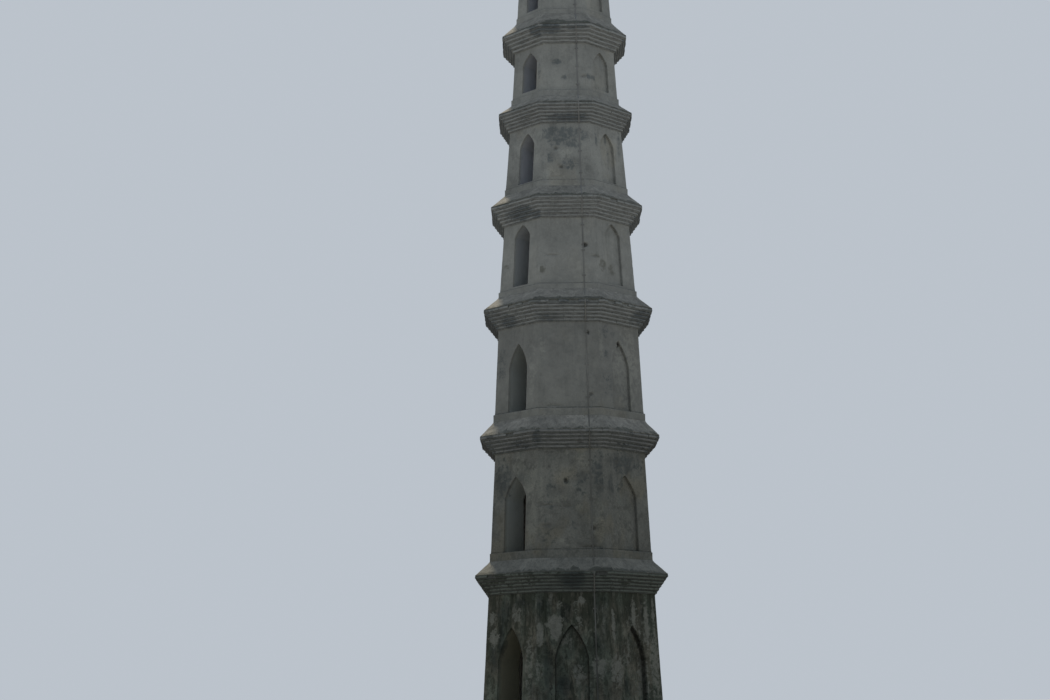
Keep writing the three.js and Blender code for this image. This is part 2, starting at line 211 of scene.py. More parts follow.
# Node graphs
class Value:
    """A socket that Python's operators work on, by adding Math nodes."""

    def __init__(self, graph, socket):
        self.graph, self.socket = graph, socket

    def math(self, operation, *others):
        inputs = dict(enumerate((self, *others)))
        return self.graph.node("ShaderNodeMath", {"operation": operation}, inputs)

    def __add__(self, other):
        return self.math("ADD", other)

    def __mul__(self, other):
        return self.math("MULTIPLY", other)

    def __sub__(self, other):
        return self.math("SUBTRACT", other)

    def __truediv__(self, other):
        return self.math("DIVIDE", other)

    def __rsub__(self, other):
        return (self * -1.0) + other

    def __rtruediv__(self, other):
        return self.math("POWER", -1.0) * other

    __radd__ = __add__
    __rmul__ = __mul__

    def clamped(self):
        return self.math("MINIMUM", 1.0).math("MAXIMUM", 0.0)

    def between(self, low, high, to_low=0.0, to_high=1.0):
        """Rises smoothly from to_low at low to to_high at high."""
        inputs = {"Value": self, "From Min": low, "From Max": high, "To Min": to_low, "To Max": to_high}
        return self.graph.node("ShaderNodeMapRange", {"interpolation_type": "SMOOTHSTEP"}, inputs)


class Graph:
    """Adds nodes to one node tree."""

    def __init__(self, tree):
        self.tree = tree

    def socket(self, sockets, key):
        if isinstance(key, int):
            return sockets[key]
        return next(s for s in sockets if s.name == key.replace("_", " ") and not s.is_unavailable)

    def add(self, kind, settings=None, inputs=None, **named):
        """Adds a node with its settings, then with values or links for its sockets, which go by
        number or by name, with _ for a space."""
        made = self.tree.nodes.new(kind)
        for name, value in (settings or {}).items():
            if name == "stops":
                self.set_stops(made.color_ramp, value)
            else:
                setattr(made, name, value)
        for key, value in {**(inputs or {}), **named}.items():
            self.plug(value, self.socket(made.inputs, key))
        return made

    def node(self, kind, settings=None, inputs=None, output=None, **named):
        """Adds a node, and gives the output of that name, or else the first."""
        made = self.add(kind, settings, inputs, **named)
        if output is None:
            return Value(self, next(s for s in made.outputs if not s.is_unavailable))
        return Value(self, self.socket(made.outputs, output))

    def plug(self, value, socket):
        if isinstance(value, Value):
            self.tree.links.new(value.socket, socket)
        elif isinstance(value, list):
            for one in value:
                self.tree.links.new(one.socket, socket)
        else:
            socket.default_value = value

    def set_stops(self, ramp, stops):
        while len(ramp.elements) < len(stops):
            ramp.elements.new(0.5)
        for element, (position, colour) in zip(ramp.elements, stops):
            element.position = position
            element.color = (*colour, 1.0)

    def vector(self, operation, *values):
        return self.node("ShaderNodeVectorMath", {"operation": operation}, dict(enumerate(values)))

    def scaled(self, vector, factor):
        return self.node("ShaderNodeVectorMath", {"operation": "SCALE"}, {0: vector}, Scale=factor)

    def combine(self, x=0.0, y=0.0, z=0.0):
        return self.node("ShaderNodeCombineXYZ", X=x, Y=y, Z=z)

    def split(self, vector):
        return [Value(self, s) for s in self.add("ShaderNodeSeparateXYZ", Vector=vector).outputs]

    def noise(self, place, scale, detail=2.0, roughness=0.5, distortion=0.0):
        return self.node("ShaderNodeTexNoise", output="Fac", Vector=place, Scale=scale, Detail=detail,
                         Roughness=roughness, Distortion=distortion)

    def wander(self, place, scale, reach):
        """A shift by noise, to any side, of up to about half the reach."""
        noise = self.node("ShaderNodeTexNoise", output="Color", Vector=place, Scale=scale, Detail=2.0)
        return self.scaled(self.vector("SUBTRACT", noise, (0.5, 0.5, 0.5)), reach)


def in_scene(name, data):
    """A new object in the scene that holds the data."""
    made = bpy.data.objects.new(name, data)
    bpy.context.scene.collection.objects.link(made)
    return made


# Geometry nodes
class Recipe(Graph):
    """A Geometry Nodes tree with named inputs. It ends in Realize Instances and Set Material."""

    def __init__(self, name, floats, ints=()):
        super().__init__(bpy.data.node_groups.new(name, "GeometryNodeTree"))
        kinds = {"Geometry": "Geometry", "Material": "Material",
                 **dict.fromkeys(floats, "Float"), **dict.fromkeys(ints, "Int")}
        sockets = self.tree.interface
        self.identifiers = {}
        for label, kind in kinds.items():
            item = sockets.new_socket(label, in_out="INPUT", socket_type="NodeSocket" + kind)
            self.identifiers[label] = item.identifier
        sockets.new_socket("Geometry", in_out="OUTPUT", socket_type="NodeSocketGeometry")
        self.group = self.tree.nodes.new("NodeGroupInput")

    def given(self, label):
        return Value(self, self.group.outputs[label])

    def random(self, low, high, seed):
        return self.node("FunctionNodeRandomValue", {"data_type": "FLOAT"}, Min=low, Max=high, Seed=seed)

    def chance(self, probability, seed):
        return self.node("FunctionNodeRandomValue", {"data_type": "BOOLEAN"},
                         Probability=probability, Seed=seed)

    def position(self):
        return self.node("GeometryNodeInputPosition")

    def index(self):
        return self.node("GeometryNodeInputIndex")

    def finish(self, geometry):
        real = self.node("GeometryNodeRealizeInstances", Geometry=geometry)
        painted = self.node("GeometryNodeSetMaterial", Geometry=real, Material=self.given("Material"))
        self.plug(painted, self.tree.nodes.new("NodeGroupOutput").inputs["Geometry"])
        return self

    def run(self, name, mesh=None, **values):
        """Evaluates the tree on the mesh, which it uses up, and gives a plain mesh of that name."""
        source = mesh or bpy.data.meshes.new("source")
        holder = in_scene("source", source)
        modifier = holder.modifiers.new("grow", "NODES")
        modifier.node_group = self.tree
        for label, value in values.items():
            modifier[self.identifiers[label.replace("_", " ").title()]] = value
        graph = bpy.context.evaluated_depsgraph_get()
        made = bpy.data.meshes.new_from_object(holder.evaluated_get(graph), depsgraph=graph)
        holder.modifiers.clear()
        bpy.data.objects.remove(holder)
        bpy.data.meshes.remove(source)
        made.name = name
        return made


def uneven_skin_recipe():
    """Plaster laid by hand: the skin sinks in by up to Swell and Ripple where it is loose."""
    recipe = Recipe("uneven_skin", ("Swell", "Swell Size", "Ripple", "Ripple Size", "Seed"))
    given = recipe.given
    place = recipe.vector("ADD", recipe.position(), recipe.combine(given("Seed")))
    swell = recipe.noise(place, 1.0 / given("Swell Size"), 1.0)
    ripple = recipe.noise(place, 1.0 / given("Ripple Size"), 3.0, 0.6)
    crest = 0.75
    sink = given("Swell") * (swell - crest) + given("Ripple") * (ripple - crest)
    loose = recipe.node("GeometryNodeInputNamedAttribute", {"data_type": "FLOAT"}, output="Attribute",
                        Name="loose")
    offset = recipe.scaled(recipe.node("GeometryNodeInputNormal"), sink * loose)
    return recipe.finish(recipe.node("GeometryNodeSetPosition", Geometry=given("Geometry"), Offset=offset))


def brick_corbel_recipe():
    """Courses of bricks that step out round the octagon, with mitred bricks at its corners."""
    recipe = Recipe("brick_corbel",
                    ("First Radius", "Step", "Bottom", "Course Rise", "Brick Rise", "Brick Length",
                     "Brick Depth", "Joint", "Corner Arm", "Nose", "Jitter", "Wear", "Sag", "Broken"),
                    ("Courses", "Seed"))
    given = recipe.given
    joint, arm, jitter = given("Joint"), given("Corner Arm"), given("Jitter")
    brick_rise, brick_depth = given("Brick Rise"), given("Brick Depth")
    start = recipe.tree.nodes.new("GeometryNodeRepeatInput")
    end = recipe.tree.nodes.new("GeometryNodeRepeatOutput")
    start.pair_with_output(end)
    recipe.plug(given("Courses"), start.inputs["Iterations"])
    course = Value(recipe, start.outputs["Iteration"])
    seeds_apart, lost_depth, most_twist, lift_share = 17.0, 0.07, 0.012, 0.4
    wear_scale, sag_scale = 9.0, 0.9
    seed = given("Seed") + course * seeds_apart

    radius = given("First Radius") + given("Step") * course
    level = given("Bottom") + given("Course Rise") * course + brick_rise * 0.5
    side = radius * (2 * HALF_SIDE)
    run = side - arm * 2.0
    count = (run / (given("Brick Length") + joint)).math("ROUND").math("MAXIMUM", 1.0)
    pitch = run / count
    half = (pitch - joint) * 0.5

    outline = recipe.node("GeometryNodeCurvePrimitiveQuadrilateral", {"mode": "RECTANGLE"},
                          Width=brick_depth, Height=brick_rise)
    rounded = recipe.node("GeometryNodeFilletCurve", {"mode": "POLY"}, Curve=outline, Count=2,
                          Radius=given("Nose"))
    profile = recipe.node("GeometryNodeTransform", Geometry=rounded,
                          Translation=recipe.combine(brick_depth * -0.5))

    def swept(line):
        return recipe.node("GeometryNodeCurveToMesh", Curve=line, Profile_Curve=profile, Fill_Caps=True)

    line = recipe.node("GeometryNodeCurvePrimitiveLine", {"mode": "POINTS"},
                       Start=recipe.combine(half * -1.0), End=recipe.combine(half))
    straight = swept(recipe.node("GeometryNodeResampleCurve", {"mode": "COUNT"}, Curve=line, Count=4))
    bend = recipe.index() - 1.0
    leg = arm - joint * 0.5
    bent = recipe.node("GeometryNodeSetPosition", Geometry=recipe.node("GeometryNodeMeshLine", Count=3),
                       Position=recipe.combine(bend.math("ABSOLUTE") * leg * -HALF_SIDE,
                                               bend * leg * APOTHEM))
    corner = swept(recipe.node("GeometryNodeMeshToCurve", Mesh=bent))

    circle = recipe.node("GeometryNodeMeshCircle", Vertices=SIDES, Radius=radius)
    ring = recipe.node("GeometryNodeTransform", Geometry=circle, Translation=recipe.combine(z=level),
                       Rotation=(0.0, 0.0, TURN / 2))
    edges = recipe.node("GeometryNodeSplitEdges", Mesh=ring)
    first = arm + pitch * 0.5
    trimmed = recipe.node("GeometryNodeTrimCurve", {"mode": "LENGTH"}, {4: first, 5: side - first},
                          Curve=recipe.node("GeometryNodeMeshToCurve", Mesh=edges))
    points = recipe.node("GeometryNodeCurveToPoints", {"mode": "COUNT"}, Curve=trimmed, Count=count)

    x, y, _ = recipe.split(recipe.position())
    bearing = y.math("ARCTAN2", x)
    facing = (bearing / TURN).math("ROUND") * TURN
    is_top = course.math("GREATER_THAN", given("Courses") - 1.5)
    alternate = (recipe.index() * 0.5).math("FRACT") * 2.0
    lost = recipe.chance(given("Broken") * is_top * alternate, seed + 3.0)
    push = recipe.random(jitter * -1.0, jitter, seed) - lost * lost_depth
    lift = recipe.random(jitter * -lift_share, jitter * lift_share, seed + 1.0)
    offset = recipe.combine(facing.math("COSINE") * push, facing.math("SINE") * push, lift)
    laid = recipe.node("GeometryNodeSetPosition", Geometry=points, Offset=offset)
    twist = recipe.random(-most_twist, most_twist, seed + 2.0)
    bricks = recipe.node("GeometryNodeInstanceOnPoints", Points=laid, Instance=straight,
                         Rotation=recipe.combine(z=facing + math.pi / 2 + twist))
    corners = recipe.node("GeometryNodeInstanceOnPoints", Points=ring, Instance=corner,
                          Rotation=recipe.combine(z=bearing))
    carried = Value(recipe, start.outputs["Geometry"])
    courses = recipe.node("GeometryNodeJoinGeometry", inputs={0: [carried, bricks, corners]})
    recipe.plug(courses, end.inputs["Geometry"])

    real = recipe.node("GeometryNodeRealizeInstances", Geometry=Value(recipe, end.outputs["Geometry"]))
    dip = (recipe.noise(recipe.position(), sag_scale, 1.0) - 0.5) * given("Sag")
    offset = recipe.vector("ADD", recipe.wander(recipe.position(), wear_scale, given("Wear")),
                           recipe.combine(z=dip))
    return recipe.finish(recipe.node("GeometryNodeSetPosition", Geometry=real, Offset=offset))


def plank_floor_recipe():
    """Planks side by side across the octagon, each cut to length."""
    recipe = Recipe("plank_floor", ("Radius", "Top", "Thickness", "Plank Width", "Gap"), ("Seed",))
    given = recipe.given
    reach = given("Radius") * APOTHEM
    count = (reach * 2.0 / given("Plank Width")).math("FLOOR")
    width = reach * 2.0 / count
    across = (recipe.index() + 0.5) * width - reach
    outer_edge = across.math("ABSOLUTE") + width * 0.5
    half = reach.math("MINIMUM", reach * math.sqrt(2) - outer_edge.math("ABSOLUTE"))
    settled = 0.003
    lift = recipe.random(-settled, 0.0, given("Seed"))
    level = given("Top") - given("Thickness") * 0.5
    row = recipe.node("GeometryNodeMeshLine", Count=count)
    placed = recipe.node("GeometryNodeSetPosition", Geometry=row,
                         Position=recipe.combine(across, 0.0, level + lift))
    board = recipe.node("GeometryNodeMeshCube", output="Mesh", Size=(1.0, 1.0, 1.0), Vertices_X=3,
                        Vertices_Y=5, Vertices_Z=2)
    size = recipe.combine(width - given("Gap"), half * 2.0, given("Thickness"))
    return recipe.finish(recipe.node("GeometryNodeInstanceOnPoints", Points=placed, Instance=board,
                                     Scale=size))


def strap_clip_recipe():
    """Saddle clips that hold the strap, on the points of the mesh, each turned to the wall."""
    recipe = Recipe("strap_clips", ("Width", "Height", "Depth", "Lean", "Turn"))
    given = recipe.given
    bolt_radius, bolt_length, bolt_place = 0.3, 2.2, 0.36
    plate = recipe.node("GeometryNodeMeshCube", output="Mesh", Vertices_X=2, Vertices_Y=2, Vertices_Z=2,
                        Size=recipe.combine(given("Width"), given("Depth"), given("Height")))
    bolt = recipe.node("GeometryNodeMeshCylinder", output="Mesh", Vertices=6, Side_Segments=1,
                       Radius=given("Height") * bolt_radius, Depth=given("Depth") * bolt_length)
    heads = [recipe.node("GeometryNodeTransform", Geometry=bolt, Rotation=(math.pi / 2, 0.0, 0.0),
                         Translation=recipe.combine(given("Width") * bolt_place * hand))
             for hand in (-1.0, 1.0)]
    clip = recipe.node("GeometryNodeJoinGeometry", inputs={0: [plate, *heads]})
    turned = recipe.combine(given("Lean"), 0.0, given("Turn"))
    return recipe.finish(recipe.node("GeometryNodeInstanceOnPoints", Points=given("Geometry"),
                                     Instance=clip, Rotation=turned))


# Shells
def ring_at(node, height):
    """The smallest and largest distance from the tower's axis of a node's corners at a height."""
    tolerance = 0.0005
    radii = [math.hypot(v.co.x, v.co.y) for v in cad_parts[node].data.vertices
             if abs(v.co.z - height) < tolerance]
    return min(radii), max(radii)


def outline_of(node):
    """A CAD node's outer radius at the height of each of its corners, from the bottom up."""
    heights = sorted({round(v.co.z, 4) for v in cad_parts[node].data.vertices})
    return [(ring_at(node, z)[1], z) for z in heights]


class Storey:
    """One storey's sizes, read from its CAD nodes."""

    def __init__(self, number):
        self.number = number
        self.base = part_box(f"plinth_{number}")[0].z
        self.foot, self.wall_top = (corner.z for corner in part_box(f"wall_{number}"))
        self.eave_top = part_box(f"corbel_{number}")[1].z
        self.plinth_inner_r, self.plinth_r = ring_at(f"plinth_{number}", self.base)
        self.foot_r = ring_at(f"wall_{number}", self.foot)[1]
        self.inner_r, self.head_r = ring_at(f"wall_{number}", self.wall_top)
        self.inner = self.inner_r * APOTHEM
        self.eave_r = ring_at(f"corbel_{number}", self.eave_top)[1]
        self.floor_r = ring_at(f"floor_{number}", self.base)[1]
        self.grid = GROUND_GRID if number == 1 else UPPER_GRID

    def outer_r(self, height):
        share = (height - self.foot) / (self.wall_top - self.foot)
        return self.foot_r + (self.head_r - self.foot_r) * share

    def face(self, height):
        """How far from the axis the middle of the wall's outer face is."""
        return self.outer_r(height) * APOTHEM


class Lancet:
    """An opening or niche: upright below its spring, and two arcs that meet in a point above."""

    def __init__(self, storey, sizes, depth=None):
        width, self.shift, sill, self.spring, self.apex = sizes
        self.half, self.depth = width / 2, depth
        self.sill, self.on_floor = storey.foot + sill, sill == 0
        rise = self.apex - self.spring
        chord = math.hypot(self.half, rise)
        swell = ARCH_SWELL * chord
        self.arc = (chord ** 2 / 4 + swell ** 2) / (2 * swell)
        self.centre_x = self.half / 2 - (self.arc - swell) * rise / chord
        self.centre_z = (self.spring + self.apex) / 2 - (self.arc - swell) * self.half / chord

    def half_width(self, height):
        above = np.clip(height, self.spring, self.apex) - self.centre_z
        return np.maximum(self.centre_x + np.sqrt(self.arc ** 2 - above ** 2), 0.0)

    def lip(self, height):
        if height >= self.apex - WELD or (not self.on_floor and height <= self.sill + WELD):
            return 0.0
        return min(LIP, self.half_width(height))


def even(low, high, parts):
    return [low + (high - low) * i / parts for i in range(parts + 1)]


def graded(marks, step):
    """All the marks, with even steps no longer than step between them."""
    ordered, slack = sorted(set(round(m, 5) for m in marks)), 1e-6
    found = []
    for low, high in zip(ordered, ordered[1:]):
        found.extend(even(low, high, max(1, math.ceil((high - low) / step - slack)))[:-1])
    return [*found, ordered[-1]]


def at(side, across, out, up):
    turn = side * TURN
    return (across * math.cos(turn) + out * math.sin(turn),
            across * math.sin(turn) - out * math.cos(turn), up)


def mesh_from(shape, name):
    made = bpy.data.meshes.new(name)
    shape.to_mesh(made)
    shape.free()
    return made


class Shell:
    """Collects patches of quads. Points that two patches share are merged at the end."""

    def __init__(self):
        self.points, self.faces = [], []

    def patch(self, rows):
        first, width = len(self.points), len(rows[0])
        for row in rows:
            self.points.extend(row)
        for i in range(len(rows) - 1):
            for j in range(width - 1):
                a = first + i * width + j
                self.faces.append((a, a + 1, a + 1 + width, a + width))

    def mesh(self, name, cap_levels=()):
        raw = bpy.data.meshes.new(name + "_raw")
        raw.from_pydata(self.points, [], self.faces)
        shape = bmesh.new()
        shape.from_mesh(raw)
        bpy.data.meshes.remove(raw)
        bmesh.ops.remove_doubles(shape, verts=shape.verts, dist=WELD)
        bmesh.ops.dissolve_degenerate(shape, edges=shape.edges, dist=WELD / 2)
        for level in cap_levels:
            rim = [e for e in shape.edges if e.is_boundary
                   and all(abs(v.co.z - level) < WELD for v in e.verts)]
            bmesh.ops.triangle_fill(shape, use_beauty=False, use_dissolve=False, edges=rim,
                                    normal=(0, 0, 1))
        bmesh.ops.recalc_face_normals(shape, faces=shape.faces)
        return mesh_from(shape, name)


def corner_arc(radius, rounding):
    """(across, out) from the tower's corner to where its rounding ends on the flat side."""
    apothem, half = radius * APOTHEM, radius * HALF_SIDE
    start = half - rounding * math.tan(TURN / 2)
    angles = [TURN / 2 * (1 - step / ARRIS_STEPS) for step in range(ARRIS_STEPS + 1)]
    return [(start + rounding * math.sin(a), apothem - rounding + rounding * math.cos(a)) for a in angles]


def edge_chain(storey, lancet, height, hand, columns):
    """(across, out) from the tower's corner to the edge of the opening, on one hand of it."""
    apothem = storey.face(height)
    arc = corner_arc(storey.outer_r(height), ARRIS)
    lip = lancet.lip(height) if lancet else 0.0
    edge = lancet.half_width(height) + hand * lancet.shift if lancet else 0.0
    flat = [(d, apothem) for d in even(arc[-1][0], edge + lip, columns)]
    rim = [(edge + lip * (1 - math.sin(a)), apothem - lip * (1 - math.cos(a)))
           for a in (math.pi / 4, math.pi / 2)]
    return [(hand * d, out) for d, out in arc + flat[1:] + rim]


def add_wall_side(shell, storey, side, lancet, levels, columns):
    """One side of a wall, outside and inside, with its opening or niche."""
    through = lancet is not None and lancet.depth is None
    deep_parts, inner_columns = 6 if through else 3, 2
    open_levels, sill_levels = [], []
    if lancet:
        open_levels = [z for z in levels if lancet.sill - WELD < z < lancet.apex + WELD]
        sill_levels = [z for z in levels if z < lancet.sill + WELD and not lancet.on_floor]

    def back(z):
        return storey.inner if through else storey.face(z) - lancet.depth

    span = {}
    for hand in (-1, 1):
        chains = {z: edge_chain(storey, lancet, z, hand, columns) for z in levels}
        span[hand] = {z: chains[z][-1][0] for z in levels}
        shell.patch([[at(side, *p, z) for p in chains[z]] for z in levels])
        corner = hand * storey.inner_r * HALF_SIDE
        shell.patch([[at(side, d, storey.inner, z)
                      for d in even(corner, span[hand][z] * through, inner_columns)] for z in levels])
        if lancet:
            shell.patch([[at(side, span[hand][z], out, z)
                          for out in even(chains[z][-1][1], back(z), deep_parts)] for z in open_levels])
    if not lancet:
        return
    middle = max(FEWEST_COLUMNS, round(2 * lancet.half / storey.grid))

    def row(z, out):
        return [at(side, u, out, z) for u in even(span[-1][z], span[1][z], middle)]

    if not through:
        shell.patch([row(z, back(z)) for z in open_levels])
    if sill_levels:
        sill = sill_levels[-1]
        shell.patch([row(z, storey.face(z)) for z in sill_levels])
        shell.patch([row(sill, out) for out in even(storey.face(sill), back(sill), deep_parts)])
        if through:
            shell.patch([row(z, storey.inner) for z in sill_levels])


def wall_mesh(storey, lancets):
    """A wall as one closed shell, with its openings and niches."""
    marks = [storey.foot, storey.wall_top]
    for lancet in lancets.values():
        marks += [max(lancet.sill, storey.foot), lancet.spring, lancet.apex]
    levels, flat_share = graded(marks, storey.grid), 0.8
    columns = round(storey.head_r * HALF_SIDE * flat_share / storey.grid)
    shell = Shell()
    for side in range(SIDES):
        add_wall_side(shell, storey, side, lancets.get(side), levels, columns)
    return shell.mesh(f"wall_{storey.number}_plaster", (storey.foot, storey.wall_top))


def octagon_mesh(name, profile, grid, rounding):
    """A closed profile of (radius, height) points carried round the octagon, with soft corners."""
    shell = Shell()
    widest, most_rounded = max(radius for radius, _ in profile), 0.5
    columns = max(FEWEST_COLUMNS, round(2 * widest * HALF_SIDE / grid))
    for side in range(SIDES):
        rows = []
        for radius, height in [*profile, profile[0]]:
            arc = corner_arc(radius, min(rounding, radius * most_rounded))
            left = [(-d, out) for d, out in arc]
            flat = [(d, arc[-1][1]) for d in even(-arc[-1][0], arc[-1][0], columns)]
            rows.append([at(side, d, out, height) for d, out in left[:-1] + flat + arc[-2::-1]])
        shell.patch(rows)
    return shell.mesh(name)


def turned_mesh(name, profile, segments=48):
    """A profile of (radius, height) points turned about the tower's axis."""
    shell = Shell()
    angles = even(0.0, 2 * math.pi, segments)
    shell.patch([[(radius * math.cos(a), radius * math.sin(a), height) for a in angles]
                 for radius, height in profile])
    return shell.mesh(name)


def joined(name, meshes):
    shape = bmesh.new()
    for mesh in meshes:
        shape.from_mesh(mesh)
    return mesh_from(shape, name)


# Surface measures
def points_of(mesh):
    found = np.zeros(len(mesh.vertices) * 3)
    mesh.vertices.foreach_get("co", found)
    return found.reshape(-1, 3)


def write_measures(mesh, **measures):
    for name, values in measures.items():
        layer = mesh.attributes.get(name) or mesh.attributes.new(name, "FLOAT", "POINT")
        layer.data.foreach_set("value", np.asarray(values, np.float32))


def bumps(points, size, seed):
    """Smooth noise from -1 to 1 with bumps about that size: a hash of each grid corner, blended."""
    primes, mixer, seeds_apart = np.array([73856093, 19349663, 83492791]), 1274126177, 7.31
    place = points / size + seed * seeds_apart
    cell = np.floor(place).astype(np.int64)
    part = place - cell
    part = part * part * (3 - 2 * part)
    total = np.zeros(len(points))
    for corner in range(8):
        step = np.array([corner & 1, corner >> 1 & 1, corner >> 2 & 1])
        key = (cell + step) @ primes
        key = (key ^ (key >> 13)) * mixer & 0x7FFFFFFF
        height = ((key ^ (key >> 15)) & 0xFFFF) / 32767.5 - 1
        total += height * np.prod(np.where(step, part, 1 - part), axis=1)
    return total


def side_places(points):
    """The side that each point is on, and its distance across and out on that side."""
    side = np.round(np.arctan2(points[:, 0], -points[:, 1]) / TURN).astype(int) % SIDES
    turn = side * TURN
    across = points[:, 0] * np.cos(turn) + points[:, 1] * np.sin(turn)
    out = points[:, 0] * np.sin(turn) - points[:, 1] * np.cos(turn)
    return side, across, out


def mark_strength(points, marks, number, ragged=0.0, soft=1.0):
    """How strongly each point is covered by the storey's marks. Soft is how wide a mark's edge is,
    as a share of its radius."""
    side, across, _ = side_places(points)
    twin = np.array(TWIN_SIDES)[side]
    across = np.where(twin == side, across, -across)
    coarse, fine = 0.09, 0.03
    edge = (bumps(points, coarse, 5) + bumps(points, fine, 9) * 0.5) * ragged if ragged else 0.0
    total = np.zeros(len(points))
    for (storey, on_side), found in marks.items():
        here = (side == on_side) | (twin == on_side)
        for middle, height, width, tall, strength in found if storey == number else ():
            distance = np.hypot((across - middle) / (width / 2), (points[:, 2] - height) / (tall / 2))
            cover = np.clip((1 + soft / 2 - distance - edge) / soft, 0, 1)
            total = np.maximum(total, cover * here * strength)
    return total


def write_stains_and_shade(mesh, marks, number):
    write_measures(mesh, stain=mark_strength(points_of(mesh), marks, number))


def crevice_dirt_and_shade(points, storey, lancets):
    """1 on the cheeks and the back's rim of the niches, where dirt gathers and shade is painted, and 0
    elsewhere.
    """
    side, across, out = side_places(points)
    height = points[:, 2]
    sunk = storey.face(height) - out
    found = np.zeros(len(points))
    full_share, dirt_and_shade_width, close, behind = 1.2, 0.05, 0.02, 0.05
    for number, lancet in lancets.items():
        if lancet.depth is not None:
            from_edge = lancet.half_width(height) - np.abs(across - lancet.shift)
            near = np.clip(full_share - from_edge / dirt_and_shade_width, 0, 1)
            reach = (sunk > close) & (sunk < lancet.depth + behind) & (height < lancet.apex + close)
            found = np.maximum(found, near * reach * (side == number))
    return found


def weather_wall(mesh, storey, lancets):
    """Sinks the pits in, and writes what the plaster's material reads."""
    points = points_of(mesh)
    number, height = storey.number, points[:, 2]
    side, across, out = side_places(points)
    sunk = storey.face(height) - out
    skin_depth, held_end, ragged, slack, close = 0.2, 0.08, 0.25, 0.01, 0.02
    cheek_start, niche_start, cheek_fade = 0.03, 0.25, 0.08
    skin = sunk < skin_depth
    depth = mark_strength(points, PITS, number, ragged, soft=0.5) * skin
    outward = np.stack([np.sin(side * TURN), -np.cos(side * TURN), np.zeros(len(side))], axis=1)
    mesh.vertices.foreach_set("co", (points - outward * depth[:, None]).ravel())

    front = lancets[FRONT]
    through = (side == FRONT) | (side == BACK)
    in_opening = through & (np.abs(across - front.shift) < front.half_width(height) + slack)
    in_room = (sunk > storey.face(height) - storey.inner - close) & ~in_opening
    near_end = np.minimum(height - storey.foot, storey.wall_top - height)
    pit = mark_strength(points, PITS, number, ragged, soft=0.6) / PIT_FULL_DEPTH * skin
    # Dirt and painted shade on the niches' cheeks and rims, joined to the pits
    dirt = crevice_dirt_and_shade(points, storey, lancets) * NICHE_DIRT_AND_SHADE.get(number, NICHE_DIRT_AND_SHADE_HIGH_UP)
    past_edge = sunk - np.where(through, cheek_start, niche_start)
    write_measures(mesh, loose=np.clip(near_end / held_end, 0, 1), pit=np.maximum(pit, dirt),
                   rise=(height - storey.foot) / (storey.wall_top - storey.foot),
                   inside=np.clip(past_edge / cheek_fade, 0, 1) + in_room,
                   stain=mark_strength(points, STAINS_AND_SHADE, number) * skin,
                   clean=mark_strength(points, CLEAN_PATCHES, number) * skin)
    mesh.update()


def weather_ring(mesh, bottom, top):
    """Writes the same measures on a ring between two heights. It is held at both ends."""
    height, held_end = points_of(mesh)[:, 2], 0.05
    loose = np.clip(np.minimum(height - bottom, top - height) / held_end, 0, 1)
    write_measures(mesh, loose=loose, rise=(height - bottom) / (top - bottom),
                   **dict.fromkeys(("pit", "stain", "clean", "inside"), height * 0))


def crisp(mesh, degrees):
    mesh.shade_smooth()
    mesh.set_sharp_from_angle(angle=math.radians(degrees))


def place_piece(mesh, slot, *nodes):
    """Puts a finished mesh in the scene as a piece of its name that rides on the tower."""
    piece = in_scene(mesh.name, mesh)
    if nodes:
        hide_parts(*nodes)
    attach(piece, "root")


# Materials
TOWER_TOP = 22.0
LIME = (0.212, 0.224, 0.217)
LIME_PALE = (0.290, 0.304, 0.290)
LIME_DULL = (0.146, 0.156, 0.152)
ROOM_LIME = (0.40, 0.40, 0.38)
MOSS = (0.020, 0.025, 0.018)
BARE_BRICK = (0.110, 0.090, 0.077)
STAIN_AND_SHADE_TINT = (0.50, 0.54, 0.58)
DUN_TINT = (0.56, 0.56, 0.52)
SOOT_AND_SHADE_TINT = (0.42, 0.46, 0.50)

# How much darker the walls and the corbels are lower down, from weathering and as painted shade, and how
# mottled
# the walls are: height above the ground, and the tone or share there
WALL_WEATHER_AND_SHADE_TONES = [(4.8, 0.49), (6.4, 0.51), (7.6, 0.67), (9.5, 0.71), (11.0, 0.93), (13.8, 0.92),
              (16.0, 0.98), (18.5, 0.97)]
CORBEL_WEATHER_AND_SHADE_TONES = [(3.7, 0.34), (6.8, 0.572), (9.9, 0.76), (12.4, 0.845), (14.8, 0.78), (16.9, 0.90),
                (18.7, 0.865)]
MOTTLE_SHARES = [(4.8, 0.90), (6.6, 0.90), (8.0, 0.08), (11.6, 0.06), (13.2, 0.42), (14.6, 0.42),
                 (15.8, 0.20), (18.5, 0.22)]


